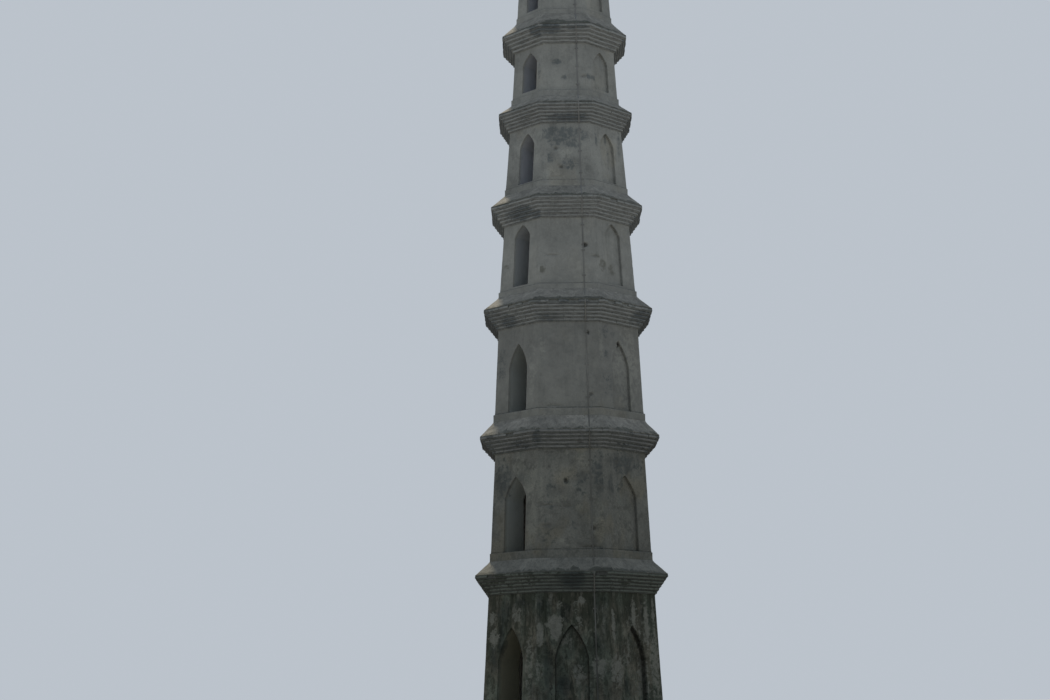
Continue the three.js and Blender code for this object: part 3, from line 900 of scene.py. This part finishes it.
class Finish(Graph):
    """A material under construction: its Principled shader, and its colour so far."""

    def __init__(self, name, specular=0.2):
        self.material = bpy.data.materials.new(name)
        self.material.use_nodes = True
        super().__init__(self.material.node_tree)
        self.shader = self.tree.nodes["Principled BSDF"].inputs
        self.shader["Specular IOR Level"].default_value = specular
        self.place = self.node("ShaderNodeTexCoord", output="Object")
        self.height = self.split(self.place)[2]

    def grain(self, scale, detail, roughness=0.5):
        return self.noise(self.place, scale, detail, roughness)

    def stretched(self, x, y, z):
        return self.vector("MULTIPLY", self.place, (x, y, z))

    def warped(self, scale, reach):
        """The place, shifted about by noise, so that what is read there has ragged edges."""
        return self.vector("ADD", self.place, self.wander(self.place, scale, reach))

    def measure(self, name):
        return self.node("ShaderNodeAttribute", {"attribute_name": name}, output="Fac")

    def mixed(self, factor, first, second, blend="MIX"):
        made = self.add("ShaderNodeMix", {"data_type": "RGBA", "blend_type": blend}, {0: factor})
        for value, socket in ((first, made.inputs[6]), (second, made.inputs[7])):
            self.plug(value if isinstance(value, Value) else (*value, 1.0), socket)
        return Value(self, made.outputs[2])

    def cover(self, factor, colour):
        self.colour = self.mixed(factor, self.colour, colour)

    def tint(self, factor, colour):
        self.colour = self.mixed(factor, self.colour, colour, "MULTIPLY")

    def ramp(self, factor, *stops):
        return self.node("ShaderNodeValToRGB", {"stops": stops}, output="Color", Fac=factor)

    def by_height(self, tones):
        """A grey that changes with height, from (height, tone) pairs."""
        return self.ramp(self.height / TOWER_TOP, *((z / TOWER_TOP, (tone,) * 3) for z, tone in tones))

    def finish(self, roughness, bump=None, depth=0.01, strength=0.5):
        self.plug(self.colour, self.shader["Base Color"])
        self.plug(roughness, self.shader["Roughness"])
        if bump is not None:
            normal = self.node("ShaderNodeBump", Height=bump, Distance=depth, Strength=strength)
            self.plug(normal, self.shader["Normal"])
        return self.material


def wash_inside(f, cloud):
    """Colours the cheeks of the openings, darker low down and paler and bluer high up, and the limewashed
    room behind them.
    """
    wash = f.mixed(f.height.between(2.0, 6.0), (0.120, 0.121, 0.089), (0.224, 0.249, 0.246))
    wash = f.mixed(f.height.between(9.0, 14.0), wash, (0.298, 0.324, 0.366))
    deep = f.measure("inside")
    wash = f.mixed(deep.between(1.0, 2.0), wash, ROOM_LIME)
    f.cover(deep.clamped() * (cloud * 0.4 + 0.7).clamped(), wash)


def finish_plaster(f, cloud, ragged, fine, patch, ragged_relief, depth, strength):
    """The inside, the stains and painted shade, the clean patches, and the pits and the niches' crevices,
    which both plasters share. A clean patch that is given no colour is the wall's own, paler."""
    wash_inside(f, cloud)
    if patch is None:
        patch = f.mixed(1.0, f.colour, (1.22, 1.22, 1.19), "MULTIPLY")
    # The stains, one of them a crack with painted shade along an arris
    marked = f.measure("stain")
    stain = (marked + (ragged - 0.5) * 3.2 + (fine - 0.5) * 1.0).between(0.30, 1.10)
    stain = stain * marked.between(0.0, 0.3)
    dun = f.height.between(10.3, 10.7) * f.height.between(12.9, 12.5)
    f.tint(stain * 0.95, f.mixed(dun, STAIN_AND_SHADE_TINT, DUN_TINT))
    marked = f.measure("clean")
    clean = (marked + (ragged - 0.5) * 2.4 + (fine - 0.5) * 0.4).between(0.34, 0.60)
    f.cover(clean * marked.between(0.0, 0.15) * (marked * 0.7 + 0.4).clamped(), patch)
    # Darkens the pits, and the niches' cheeks and rims with dirt and painted shade
    f.tint((f.measure("pit") + (fine - 0.5) * 0.7).between(0.15, 0.95) * 0.8, (0.22, 0.21, 0.20))
    grit = f.grain(90.0, 3.0, 0.7)
    relief = fine * 0.6 + grit * 0.25 + ragged * ragged_relief - stain * 0.15
    return f.finish(0.86 + grit * 0.12, relief, depth, strength)


def lime_plaster():
    """Old lime plaster: mottled, faintly streaked by rain, and darker on the lower storeys."""
    f = Finish("weathered_lime_plaster")
    broad = f.grain(0.9, 3.0, 0.55)
    blotch = f.noise(f.warped(3.0, 0.30), 3.4, 5.0, 0.62)
    ragged = f.noise(f.warped(8.0, 0.10), 9.0, 5.0, 0.66)
    fine = f.grain(26.0, 4.0, 0.65)
    streak = f.noise(f.stretched(9.0, 9.0, 0.8), 1.0, 4.0, 0.6, 0.5)
    rise = f.measure("rise")
    share = f.by_height(MOTTLE_SHARES)

    tone = broad * 0.30 + blotch * 0.30 + ragged * 0.25 + fine * 0.15
    tone = (tone - 0.5) * (share * 1.2 + 0.50) + 0.5
    f.colour = f.ramp(tone, (0.40, LIME_DULL), (0.5, LIME), (0.60, LIME_PALE))
    f.tint(1.0, f.by_height(WALL_WEATHER_AND_SHADE_TONES))
    warm = f.noise(f.stretched(1.3, 1.3, 0.9), 1.0, 3.0).between(0.50, 0.64)
    f.tint(warm * (share + 0.15).clamped(), (1.05, 1.0, 0.92))
    f.tint(f.height.between(9.5, 5.0), (1.0, 1.0, 0.955))
    mottle = (blotch * 0.5 + ragged * 0.5).between(0.49, 0.62) * share
    f.tint(mottle, (0.60, 0.63, 0.65))
    fleck = (ragged * 0.7 + fine * 0.3).between(0.57, 0.66) * share
    f.tint(fleck * 0.5, (1.35, 1.34, 1.28))
    rain = (streak + (rise - 0.5) * 0.10).between(0.52, 0.68) * 0.22
    f.tint(rain, (0.60, 0.62, 0.62))
    # A painted shadow line, partly a crack, where the wall meets the plinth, and darker blotches low on
    # the wall
    seam = rise.between(0.016, 0.006) * ragged.between(0.40, 0.54)
    foot = rise.between(0.10, 0.0) * blotch.between(0.4, 0.62)
    f.tint((seam * 0.75 + foot * 0.25).clamped(), (0.45, 0.45, 0.44))
    return finish_plaster(f, blotch, ragged, fine, None, 0.5, 0.012, 0.55)


def stained_plaster():
    """The lowest storey's plaster: brown and green casts, black runs from above, pale bare patches."""
    f = Finish("stained_lime_plaster")
    cloud = f.noise(f.warped(2.0, 0.50), 2.4, 5.0, 0.62)
    ragged = f.noise(f.warped(8.0, 0.10), 9.0, 5.0, 0.68)
    fine = f.grain(30.0, 4.0, 0.65)
    run = f.noise(f.vector("MULTIPLY", f.warped(4.0, 0.12), (7.0, 7.0, 1.1)), 1.0, 5.0, 0.65)
    column = f.noise(f.stretched(2.4, 2.4, 0.8), 1.0, 3.0, 0.6)
    rise = f.measure("rise")

    tone = cloud * 0.35 + ragged * 0.30 + run * 0.25 + fine * 0.10
    tone = (tone - 0.51) * 1.25 + 0.51
    # Very dark tones: the lowest storey's grime, and painted shade that darkens it further
    f.colour = f.ramp(tone, (0.42, (0.027, 0.032, 0.026)), (0.48, (0.052, 0.058, 0.050)),
                      (0.54, (0.078, 0.085, 0.073)), (0.61, (0.124, 0.134, 0.116)))
    cast = f.mixed(column.between(0.40, 0.60), (0.92, 1.01, 0.97), (1.08, 0.99, 0.93))
    f.tint(1.0, cast)
    black = (run + rise * 0.16 + (ragged - 0.5) * 0.5).between(0.58, 0.70)
    f.cover(black * 0.85, MOSS)
    drip = f.noise(f.stretched(20.0, 20.0, 1.3), 1.0, 3.0, 0.6, 0.3).between(0.50, 0.62)
    f.tint(drip * rise.between(0.35, 0.95) * 0.7, (0.42, 0.44, 0.41))
    pale_run = (run * 0.6 + cloud * 0.4).between(0.45, 0.37)
    patch = f.ramp(ragged * 0.6 + fine * 0.4, (0.36, (0.071, 0.076, 0.067)),
                   (0.6, (0.126, 0.134, 0.120)))
    f.cover(pale_run * 0.6, patch)
    return finish_plaster(f, cloud, ragged, fine, patch, 0.6, 0.014, 0.6)


def eave_mortar():
    """The weathered mortar of the eave slopes: pale and pitted, mossy at the rim."""
    f = Finish("eave_mortar", 0.25)
    broad = f.grain(1.4, 3.0, 0.6)
    blotch = f.noise(f.warped(5.0, 0.15), 6.0, 5.0, 0.65)
    holes = f.grain(15.0, 3.0, 0.6)
    fine = f.grain(38.0, 4.0, 0.7)
    tone = broad * 0.3 + blotch * 0.45 + fine * 0.25
    f.colour = f.ramp(tone, (0.38, (0.112, 0.116, 0.110)), (0.5, (0.186, 0.190, 0.178)),
                      (0.61, (0.276, 0.279, 0.260)))
    # Darker on the lower slopes: weathering and painted shade
    f.tint(f.height.between(8.5, 3.0), (0.64, 0.66, 0.65))
    low_down = f.measure("rise").between(0.50, 0.0) + f.measure("stain") * 0.8
    rim = (low_down + (blotch - 0.5) * 3.4 + (broad - 0.5) * 1.5).between(0.50, 1.0)
    f.tint(rim * 0.85, (0.32, 0.35, 0.34))
    spots = (holes * 0.6 + blotch * 0.4).between(0.56, 0.66)
    f.tint(spots * 0.6, (0.42, 0.44, 0.43))
    relief = blotch * 0.7 + fine * 0.5 - spots * 0.6
    return f.finish(0.85 + fine * 0.12, relief, 0.022, 0.75)


def worn_brick():
    """Corbel bricks under old limewash, pale along the noses, with painted shade on the courses'
    undersides and on the corbels' hidden sides.
    """
    f = Finish("limewashed_brick")
    broad = f.grain(1.1, 3.0, 0.6)
    blotch = f.noise(f.warped(4.0, 0.2), 5.0, 5.0, 0.65)
    fine = f.grain(45.0, 4.0, 0.7)
    tone = broad * 0.3 + blotch * 0.45 + fine * 0.25
    f.colour = f.ramp(tone, (0.38, (0.165, 0.179, 0.181)), (0.5, (0.252, 0.271, 0.273)),
                      (0.61, (0.345, 0.366, 0.364)))
    bare = blotch.between(0.58, 0.7) * broad.between(0.6, 0.42) * f.height.between(11.0, 7.0)
    f.cover(bare * 0.5, BARE_BRICK)
    f.tint(1.0, f.by_height(CORBEL_WEATHER_AND_SHADE_TONES))
    sooty = (blotch * 0.7 + broad * 0.4).between(0.55, 0.67) * f.height.between(17.0, 4.0, 0.45, 0.75)
    f.tint(sooty, (0.50, 0.53, 0.53))
    # Stains on the visible sides, and painted shade on the hidden sides of the corbels
    marked = f.measure("stain")
    stain = (marked + (blotch - 0.5) * 1.8).between(0.15, 0.80) * marked.between(0.0, 0.3)
    f.tint(stain * 0.90, SOOT_AND_SHADE_TINT)
    drip = (f.measure("rise").between(0.60, 1.0) + (blotch - 0.5) * 2.8).between(0.7, 1.3)
    f.tint(drip * 0.6, (0.48, 0.51, 0.51))
    # Painted shade, deeper still, where the marks pass 1: the hidden sides next to the visible ones
    f.tint(marked.between(1.0, 1.5), STAIN_AND_SHADE_TINT)
    # Painted shade on the undersides of the courses
    f.tint(f.measure("under") * 0.50, (0.19, 0.22, 0.27))
    f.tint(f.height.between(6.2, 4.2), (0.97, 1.06, 0.95))
    growth = (broad * 0.6 + blotch * 0.5).between(0.56, 0.66) * f.height.between(5.5, 3.5)
    f.cover(growth * 0.75, MOSS)
    return f.finish(0.88 + fine * 0.1, blotch * 0.6 + fine * 0.5, 0.008, 0.7)


def raked_bed():
    """The recessed mortar beds between the courses: dull and damp."""
    f = Finish("raked_mortar_bed")
    blotch = f.grain(9.0, 4.0, 0.65)
    fine = f.grain(60.0, 3.0, 0.7)
    f.colour = f.ramp(blotch * 0.6 + fine * 0.4, (0.38, (0.125, 0.135, 0.137)),
                      (0.52, (0.202, 0.218, 0.219)), (0.68, (0.280, 0.300, 0.300)))
    f.tint(1.0, f.by_height(CORBEL_WEATHER_AND_SHADE_TONES))
    # Darker lower down: weathering and painted shade
    f.tint(f.height.between(14.0, 4.0), (0.72, 0.74, 0.70))
    # Stains, and painted shade on the hidden sides of the corbels, as on the bricks
    marked = f.measure("stain")
    f.tint(marked * 0.6, SOOT_AND_SHADE_TINT)
    f.tint(marked.between(1.0, 1.5), STAIN_AND_SHADE_TINT)
    return f.finish(0.93, blotch * 0.5 + fine * 0.6, 0.008, 0.6)


def flagstone():
    """Worn grey flagstones, lightly mottled."""
    f = Finish("flagstone", 0.3)
    blotch = f.grain(4.0, 5.0, 0.6)
    fine = f.grain(70.0, 3.0, 0.6)
    f.colour = f.ramp(blotch * 0.7 + fine * 0.3, (0.36, (0.09, 0.09, 0.082)),
                      (0.5, (0.15, 0.147, 0.135)), (0.66, (0.22, 0.21, 0.19)))
    return f.finish(0.75 + fine * 0.2, blotch * 0.4 + fine * 0.5, 0.006, 0.5)


def weathered_boards():
    """Softwood boards with grain along Y, grey where they are worn."""
    f = Finish("weathered_boards", 0.3)
    grain = f.noise(f.stretched(60.0, 2.0, 60.0), 1.0, 5.0, 0.6, 0.6)
    ring = f.noise(f.stretched(9.0, 0.4, 9.0), 1.0, 2.0, 0.5)
    f.colour = f.ramp(grain * 0.6 + ring * 0.4, (0.34, (0.044, 0.034, 0.026)),
                      (0.52, (0.100, 0.082, 0.064)), (0.7, (0.18, 0.155, 0.128)))
    grey = f.grain(3.0, 3.0).between(0.45, 0.7) * 0.6
    f.cover(grey, (0.15, 0.14, 0.125))
    return f.finish(0.7 + grain * 0.25, grain, 0.004, 0.5)


def old_iron():
    """Cast iron with scale and rust blooms."""
    f = Finish("rusted_cast_iron", 0.5)
    blotch = f.grain(7.0, 5.0, 0.65)
    fine = f.grain(80.0, 4.0, 0.7)
    rust = (blotch * 0.7 + fine * 0.3).between(0.50, 0.64)
    scale = f.ramp(fine, (0.3, (0.077, 0.073, 0.070)), (0.7, (0.110, 0.105, 0.100)))
    bloom = f.ramp(fine, (0.3, (0.06, 0.026, 0.013)), (0.7, (0.17, 0.075, 0.035)))
    f.plug((1.0 - rust * 0.9) * 0.75, f.shader["Metallic"])
    f.colour = f.mixed(rust, scale, bloom)
    return f.finish(0.5 + rust * 0.35 + fine * 0.1, fine + rust * 0.6, 0.002, 0.5)


def dull_steel():
    """The strap's zinc, chalky low down and weathered to the wall's grey above."""
    f = Finish("dull_strap_steel")
    blotch = f.noise(f.stretched(6.0, 6.0, 1.5), 1.0, 4.0, 0.65)
    fine = f.grain(80.0, 4.0, 0.7)
    f.colour = f.mixed(f.height.between(1.9, 2.5), (0.056, 0.060, 0.056), (0.090, 0.095, 0.090))
    f.cover(f.height.between(6.8, 8.2), (0.140, 0.147, 0.143))
    f.cover(f.height.between(10.5, 13.0), (0.166, 0.175, 0.177))
    dirt = (blotch * 0.8 + fine * 0.2).between(0.44, 0.60)
    f.tint(dirt * 0.5, (0.55, 0.54, 0.52))
    return f.finish(0.65 + fine * 0.25, fine + dirt * 0.5, 0.001, 0.4)


PLASTER = lime_plaster()
STAINED = stained_plaster()
MORTAR = eave_mortar()
BRICK = worn_brick()
BED = raked_bed()
STONE = flagstone()
BOARDS = weathered_boards()
IRON = old_iron()
STRAP_STEEL = dull_steel()


# The tower
PLINTH_SEED = 20
SLOPE_SEED = 40
ROOF_SEED = 60
storeys = [Storey(number) for number in range(1, STOREYS + 1)]
skin_recipe = uneven_skin_recipe()
corbel_recipe = brick_corbel_recipe()
floor_recipe = plank_floor_recipe()


def laid_by_hand(mesh, material, seed, swell=0.010, ripple=0.006, ripple_size=0.13):
    made = skin_recipe.run(mesh.name, mesh, swell=swell, swell_size=0.8, ripple=ripple,
                           ripple_size=ripple_size, seed=float(seed), material=material)
    crisp(made, degrees=42)
    return made


def plaster_of(storey):
    return (STAINED, "stained_plaster") if storey.number == 1 else (PLASTER, "plaster")


def add_wall(storey):
    number, sizes = storey.number, OPENINGS[storey.number]
    lancets = {side: Lancet(storey, sizes) for side in (FRONT, BACK)}
    niche, depth, sides = (sizes[0], 0.0, *sizes[2:]), UPPER_NICHE_DEPTH, LEFT_AND_RIGHT
    if number == 1:
        niche, depth, sides = GROUND_NICHE, GROUND_NICHE_DEPTH, GROUND_NICHE_SIDES
    lancets.update((side, Lancet(storey, niche, depth)) for side in sides)
    mesh = wall_mesh(storey, lancets)
    weather_wall(mesh, storey, lancets)
    finish, slot = plaster_of(storey)
    place_piece(laid_by_hand(mesh, finish, number), slot, f"wall_{number}")


def add_plinth(storey):
    number, soft = storey.number, 0.018
    r, inner_r, foot = storey.plinth_r, storey.plinth_inner_r, storey.foot
    profile = [(inner_r, storey.base), *((r, z) for z in graded([storey.base, foot - soft], storey.grid)),
               (r - soft * 0.3, foot - soft * 0.3), (r - soft, foot), (inner_r, foot)]
    mesh = octagon_mesh(f"plinth_{number}_plaster", profile, storey.grid, ARRIS)
    weather_ring(mesh, storey.base, foot)
    finish, slot = plaster_of(storey)
    skin = laid_by_hand(mesh, finish, PLINTH_SEED + number, swell=0.006, ripple=0.008)
    place_piece(skin, slot, f"plinth_{number}")


def add_corbel(storey):
    number, bottom, top = storey.number, storey.wall_top, storey.eave_top
    courses = COURSES[number]
    rise = (top - bottom) / courses
    step = (storey.eave_r - storey.head_r) / courses
    brick_share = BRICK_SHARE_LOWEST + BRICK_SHARE_GAIN * (number - 1)
    bricks = corbel_recipe.run(
        f"corbel_{number}_bricks", courses=courses, first_radius=storey.head_r + step, step=step,
        bottom=bottom + rise * (1 - brick_share), course_rise=rise, brick_rise=rise * brick_share,
        brick_length=0.24, brick_depth=0.13, joint=0.005, corner_arm=0.14, nose=0.014, jitter=0.006,
        wear=0.014, sag=0.030, broken=LOST_BRICKS.get(number, LOST_ELSEWHERE), seed=number * 101,
        material=BRICK)
    # Under: how much a brick's face looks down, for the painted shade on the courses' undersides
    points, level, down = points_of(bricks), 0.3, 0.9
    normals = np.zeros(points.size)
    bricks.vertices.foreach_get("normal", normals)
    write_measures(bricks, rise=(points[:, 2] - bottom) / (top - bottom),
                   under=np.clip((-normals[2::3] - level) / (down - level), 0, 1))
    write_stains_and_shade(bricks, CORBEL_STAINS_AND_SHADE, number)
    crisp(bricks, degrees=50)
    place_piece(bricks, "brick", f"corbel_{number}")

    profile, bed_share = [(storey.inner_r, bottom)], 0.9
    for course in range(courses):
        r = storey.head_r + step * (course + BED_REACH) - BED_RECESS
        z = bottom + rise * course
        profile += [(r, z), (r, z + rise * bed_share)]
    profile += [(profile[-1][0], top), (storey.inner_r, top)]
    bedding = octagon_mesh(f"corbel_{number}_bedding", profile, grid=0.12, rounding=0.02)
    write_stains_and_shade(bedding, CORBEL_STAINS_AND_SHADE, number)
    bedding.materials.append(BED)
    crisp(bedding, degrees=35)
    place_piece(bedding, "brick")


def add_eave_slope(storey, above):
    number, bottom, top = storey.number, storey.eave_top, above.base
    soft, lip, set_back, shoulder = 0.006, 0.026, 0.012, 0.010
    r, end_r = storey.eave_r, above.plinth_r
    parts = round(math.hypot(r - end_r, top - bottom) / storey.grid)
    slope = zip(even(r - set_back, end_r, parts), even(bottom + lip + shoulder, top, parts))
    profile = [(storey.inner_r, bottom), (r - soft, bottom), (r, bottom + soft), (r, bottom + lip),
               *slope, (storey.inner_r, top)]
    mesh = octagon_mesh(f"eave_slope_{number}_mortar", profile, storey.grid, ARRIS)
    weather_ring(mesh, bottom, top)
    write_stains_and_shade(mesh, SLOPE_STAINS, number)
    skin = laid_by_hand(mesh, MORTAR, SLOPE_SEED + number, swell=0.014, ripple=0.016, ripple_size=0.20)
    place_piece(skin, "weathering", f"eave_slope_{number}")


def add_roof():
    step, set_back, tip, close = 0.03, 0.004, 0.001, 0.001
    outline = outline_of("roof")
    bottom, top = outline[0][1], outline[-1][1]
    outer = [(r, z) for r, z in outline if r > ROOF_TIP_RADIUS and abs(z - HOLLOW_TOP) > close]
    radii, levels = np.array(outer).T
    slope = [(float(np.interp(z, levels, radii)), z) for z in graded(levels, step)]
    slope[0] = (slope[0][0] - set_back, bottom)
    profile = [(storeys[-1].inner_r, bottom), *slope, (tip, top), (tip, HOLLOW_TOP),
               (HOLLOW_TOP_RADIUS, HOLLOW_TOP)]
    mesh = octagon_mesh("roof_mortar", profile, grid=0.036, rounding=0.05)
    weather_ring(mesh, bottom, top)
    place_piece(laid_by_hand(mesh, MORTAR, ROOF_SEED, ripple=0.014), "weathering", "roof")


def add_floor(storey):
    """Planks on joists. The ground floor is paved instead."""
    thick, gap, top = 0.038, 0.003, storey.foot
    common = {"radius": storey.floor_r, "seed": storey.number, "material": BOARDS}
    planks = floor_recipe.run("planks", top=top, thickness=thick, plank_width=0.19, gap=0.004, **common)
    joist_top = top - thick - gap
    joists = floor_recipe.run("joists", top=joist_top, thickness=joist_top - storey.base,
                              plank_width=0.42, gap=0.32, **common)
    joists.transform(Matrix.Rotation(math.pi / 2, 4, "Z"))
    mesh = joined(f"floor_{storey.number}_boards", [planks, joists])
    mesh.materials.append(BOARDS)
    place_piece(mesh, "boards", f"floor_{storey.number}")


def add_paving(storey):
    """Flagstones in broken rows, cut to the octagon."""
    shape = bmesh.new()
    row, length, joint, soft, half_row = 0.42, 0.56, 0.010, 0.006, 4
    reach = storey.floor_r * APOTHEM
    rows = math.ceil(2 * reach / row)
    size = Matrix.Diagonal((length - joint, 2 * reach / rows - joint, storey.foot - storey.base, 1))
    for i in range(rows):
        y = -reach + (i + 0.5) * 2 * reach / rows
        for j in range(-half_row, half_row):
            x = (j + 0.5 + 0.5 * (i % 2)) * length
            middle = Matrix.Translation((x, y, (storey.foot + storey.base) / 2))
            bmesh.ops.create_cube(shape, size=1, matrix=middle @ size)
    for side in range(SIDES):
        normal = Vector(at(side, 0.0, 1.0, 0.0))
        cut = bmesh.ops.bisect_plane(shape, geom=shape.verts[:] + shape.edges[:] + shape.faces[:],
                                     plane_co=normal * reach, plane_no=normal, clear_outer=True)
        edges = [e for e in cut["geom_cut"] if isinstance(e, bmesh.types.BMEdge)]
        bmesh.ops.holes_fill(shape, edges=edges, sides=0)
    bmesh.ops.bevel(shape, geom=[e for e in shape.edges if e.is_manifold], offset=soft, segments=1,
                    affect="EDGES", clamp_overlap=True)
    bmesh.ops.recalc_face_normals(shape, faces=shape.faces)
    mesh = mesh_from(shape, "floor_1_flagstones")
    mesh.materials.append(STONE)
    crisp(mesh, degrees=35)
    place_piece(mesh, "paving", "floor_1")


def rounded_profile(profile, reach, parts=3):
    """Rounds each inner corner of the profile over that reach."""
    made, most = [profile[0]], 0.45
    for corner in zip(profile, profile[1:], profile[2:]):
        a, b, c = (Vector(p) for p in corner)
        cut = min(reach, (a - b).length * most, (c - b).length * most)
        start, end = b + (a - b).normalized() * cut, b + (c - b).normalized() * cut
        for i in range(parts + 1):
            t = i / parts
            made.append(tuple((start * (1 - t) + b * t) * (1 - t) + (b * (1 - t) + end * t) * t))
    return [*made, profile[-1]]


def add_casting(node):
    outline = outline_of(node)
    profile = [(0.0, outline[0][1]), *outline, (0.0, outline[-1][1])]
    mesh = turned_mesh(f"{node}_casting", rounded_profile(profile, reach=0.022))
    mesh.materials.append(IRON)
    crisp(mesh, degrees=50)
    place_piece(mesh, "iron", node)


def add_strap():
    """Gives the strap its metal, and adds three clips on each storey."""
    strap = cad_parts["lightning_strap"].data
    strap.materials.clear()
    strap.materials.append(STRAP_STEEL)
    recipe, clips = strap_clip_recipe(), []
    shares, stand_off = (0.12, 0.5, 0.88), 0.007
    for storey in storeys:
        lean = math.atan((storey.foot_r - storey.head_r) * APOTHEM / (storey.wall_top - storey.foot))
        places = []
        for share in shares:
            z = storey.foot + (storey.wall_top - storey.foot) * share
            up = z / storeys[-1].eave_top
            across = STRAP_GROUND_SHIFT + (STRAP_EAVE_SHIFT - STRAP_GROUND_SHIFT) * up
            places.append(at(STRAP_SIDE, across, storey.face(z) + stand_off, z))
        dots = bpy.data.meshes.new("clip_places")
        dots.from_pydata(places, [], [])
        clips.append(recipe.run("clips", dots, width=0.085, height=0.026, depth=0.008, lean=lean,
                                turn=STRAP_SIDE * TURN, material=STRAP_STEEL))
    mesh = joined("strap_clips", clips)
    mesh.materials.append(STRAP_STEEL)
    place_piece(mesh, "iron")


for storey in storeys:
    add_wall(storey)
    add_plinth(storey)
    add_corbel(storey)
    if storey.number > 1:
        add_floor(storey)
for storey, above in zip(storeys, storeys[1:]):
    add_eave_slope(storey, above)
add_paving(storeys[0])
add_roof()
for node in FINIAL:
    add_casting(node)
add_strap()


# Floor, light and camera
SKY_COLOUR = (0.50, 0.545, 0.60)
SUN_COLOUR = (1.0, 0.85, 0.64)
SUN_STRENGTH = 4.5
SUN_BEARING_DEG = 143.5
SUN_HEIGHT_DEG = 58.0
SUN_WIDTH_DEG = 4.0
EYE = (29.952, -30.853, 1.0)
FORWARD = (-0.71389466, 0.70025311)
PITCH_DEG = 10.9245
ROLL_DEG = -0.4887
LENS_MM = 61.276
SENSOR_MM = 36.0


def add_ground():
    f = Finish("pale_floor")
    f.colour = f.ramp(f.grain(0.15, 3.0), (0.3, (0.35, 0.355, 0.36)), (0.7, (0.39, 0.395, 0.40)))
    mesh = bpy.data.meshes.new("pale_floor")
    reach, drop = 150.0, 0.002
    mesh.from_pydata([(-reach, -reach, 0), (reach, -reach, 0), (reach, reach, 0), (-reach, reach, 0)],
                     [], [(0, 1, 2, 3)])
    mesh.materials.append(f.finish(0.9))
    floor = in_scene("pale_floor", mesh)
    floor.location.z = -drop


def add_light():
    world = bpy.data.worlds.new("soft_studio")
    world.use_nodes = True
    background = world.node_tree.nodes["Background"]
    background.inputs["Color"].default_value = (*SKY_COLOUR, 1.0)
    background.inputs["Strength"].default_value = 1.0
    bpy.context.scene.world = world
    lamp = bpy.data.lights.new("high_key", "SUN")
    lamp.energy, lamp.color = SUN_STRENGTH, SUN_COLOUR
    lamp.angle = math.radians(SUN_WIDTH_DEG)
    bearing, height = math.radians(SUN_BEARING_DEG), math.radians(SUN_HEIGHT_DEG)
    level = math.cos(height)
    towards = Vector((math.cos(bearing) * level, math.sin(bearing) * level, math.sin(height)))
    in_scene("high_key", lamp).rotation_euler = towards.to_track_quat("Z", "Y").to_euler()


def add_camera():
    pitch, roll = math.radians(PITCH_DEG), math.radians(ROLL_DEG)
    ahead = Vector((FORWARD[0] * math.cos(pitch), FORWARD[1] * math.cos(pitch), math.sin(pitch)))
    level = Vector((FORWARD[1], -FORWARD[0], 0.0))
    up = level.cross(ahead)
    right = level * math.cos(roll) + up * math.sin(roll)
    top = up * math.cos(roll) - level * math.sin(roll)
    view = bpy.data.cameras.new("view")
    view.sensor_width, view.lens = SENSOR_MM, LENS_MM
    view.clip_start, view.clip_end = 0.5, 500.0
    camera = in_scene("view", view)
    camera.matrix_world = Matrix.Translation(EYE) @ Matrix((right, top, -ahead)).transposed().to_4x4()
    bpy.context.scene.camera = camera


add_ground()
add_light()
add_camera()
bpy.context.scene.view_settings.view_transform = "Standard"
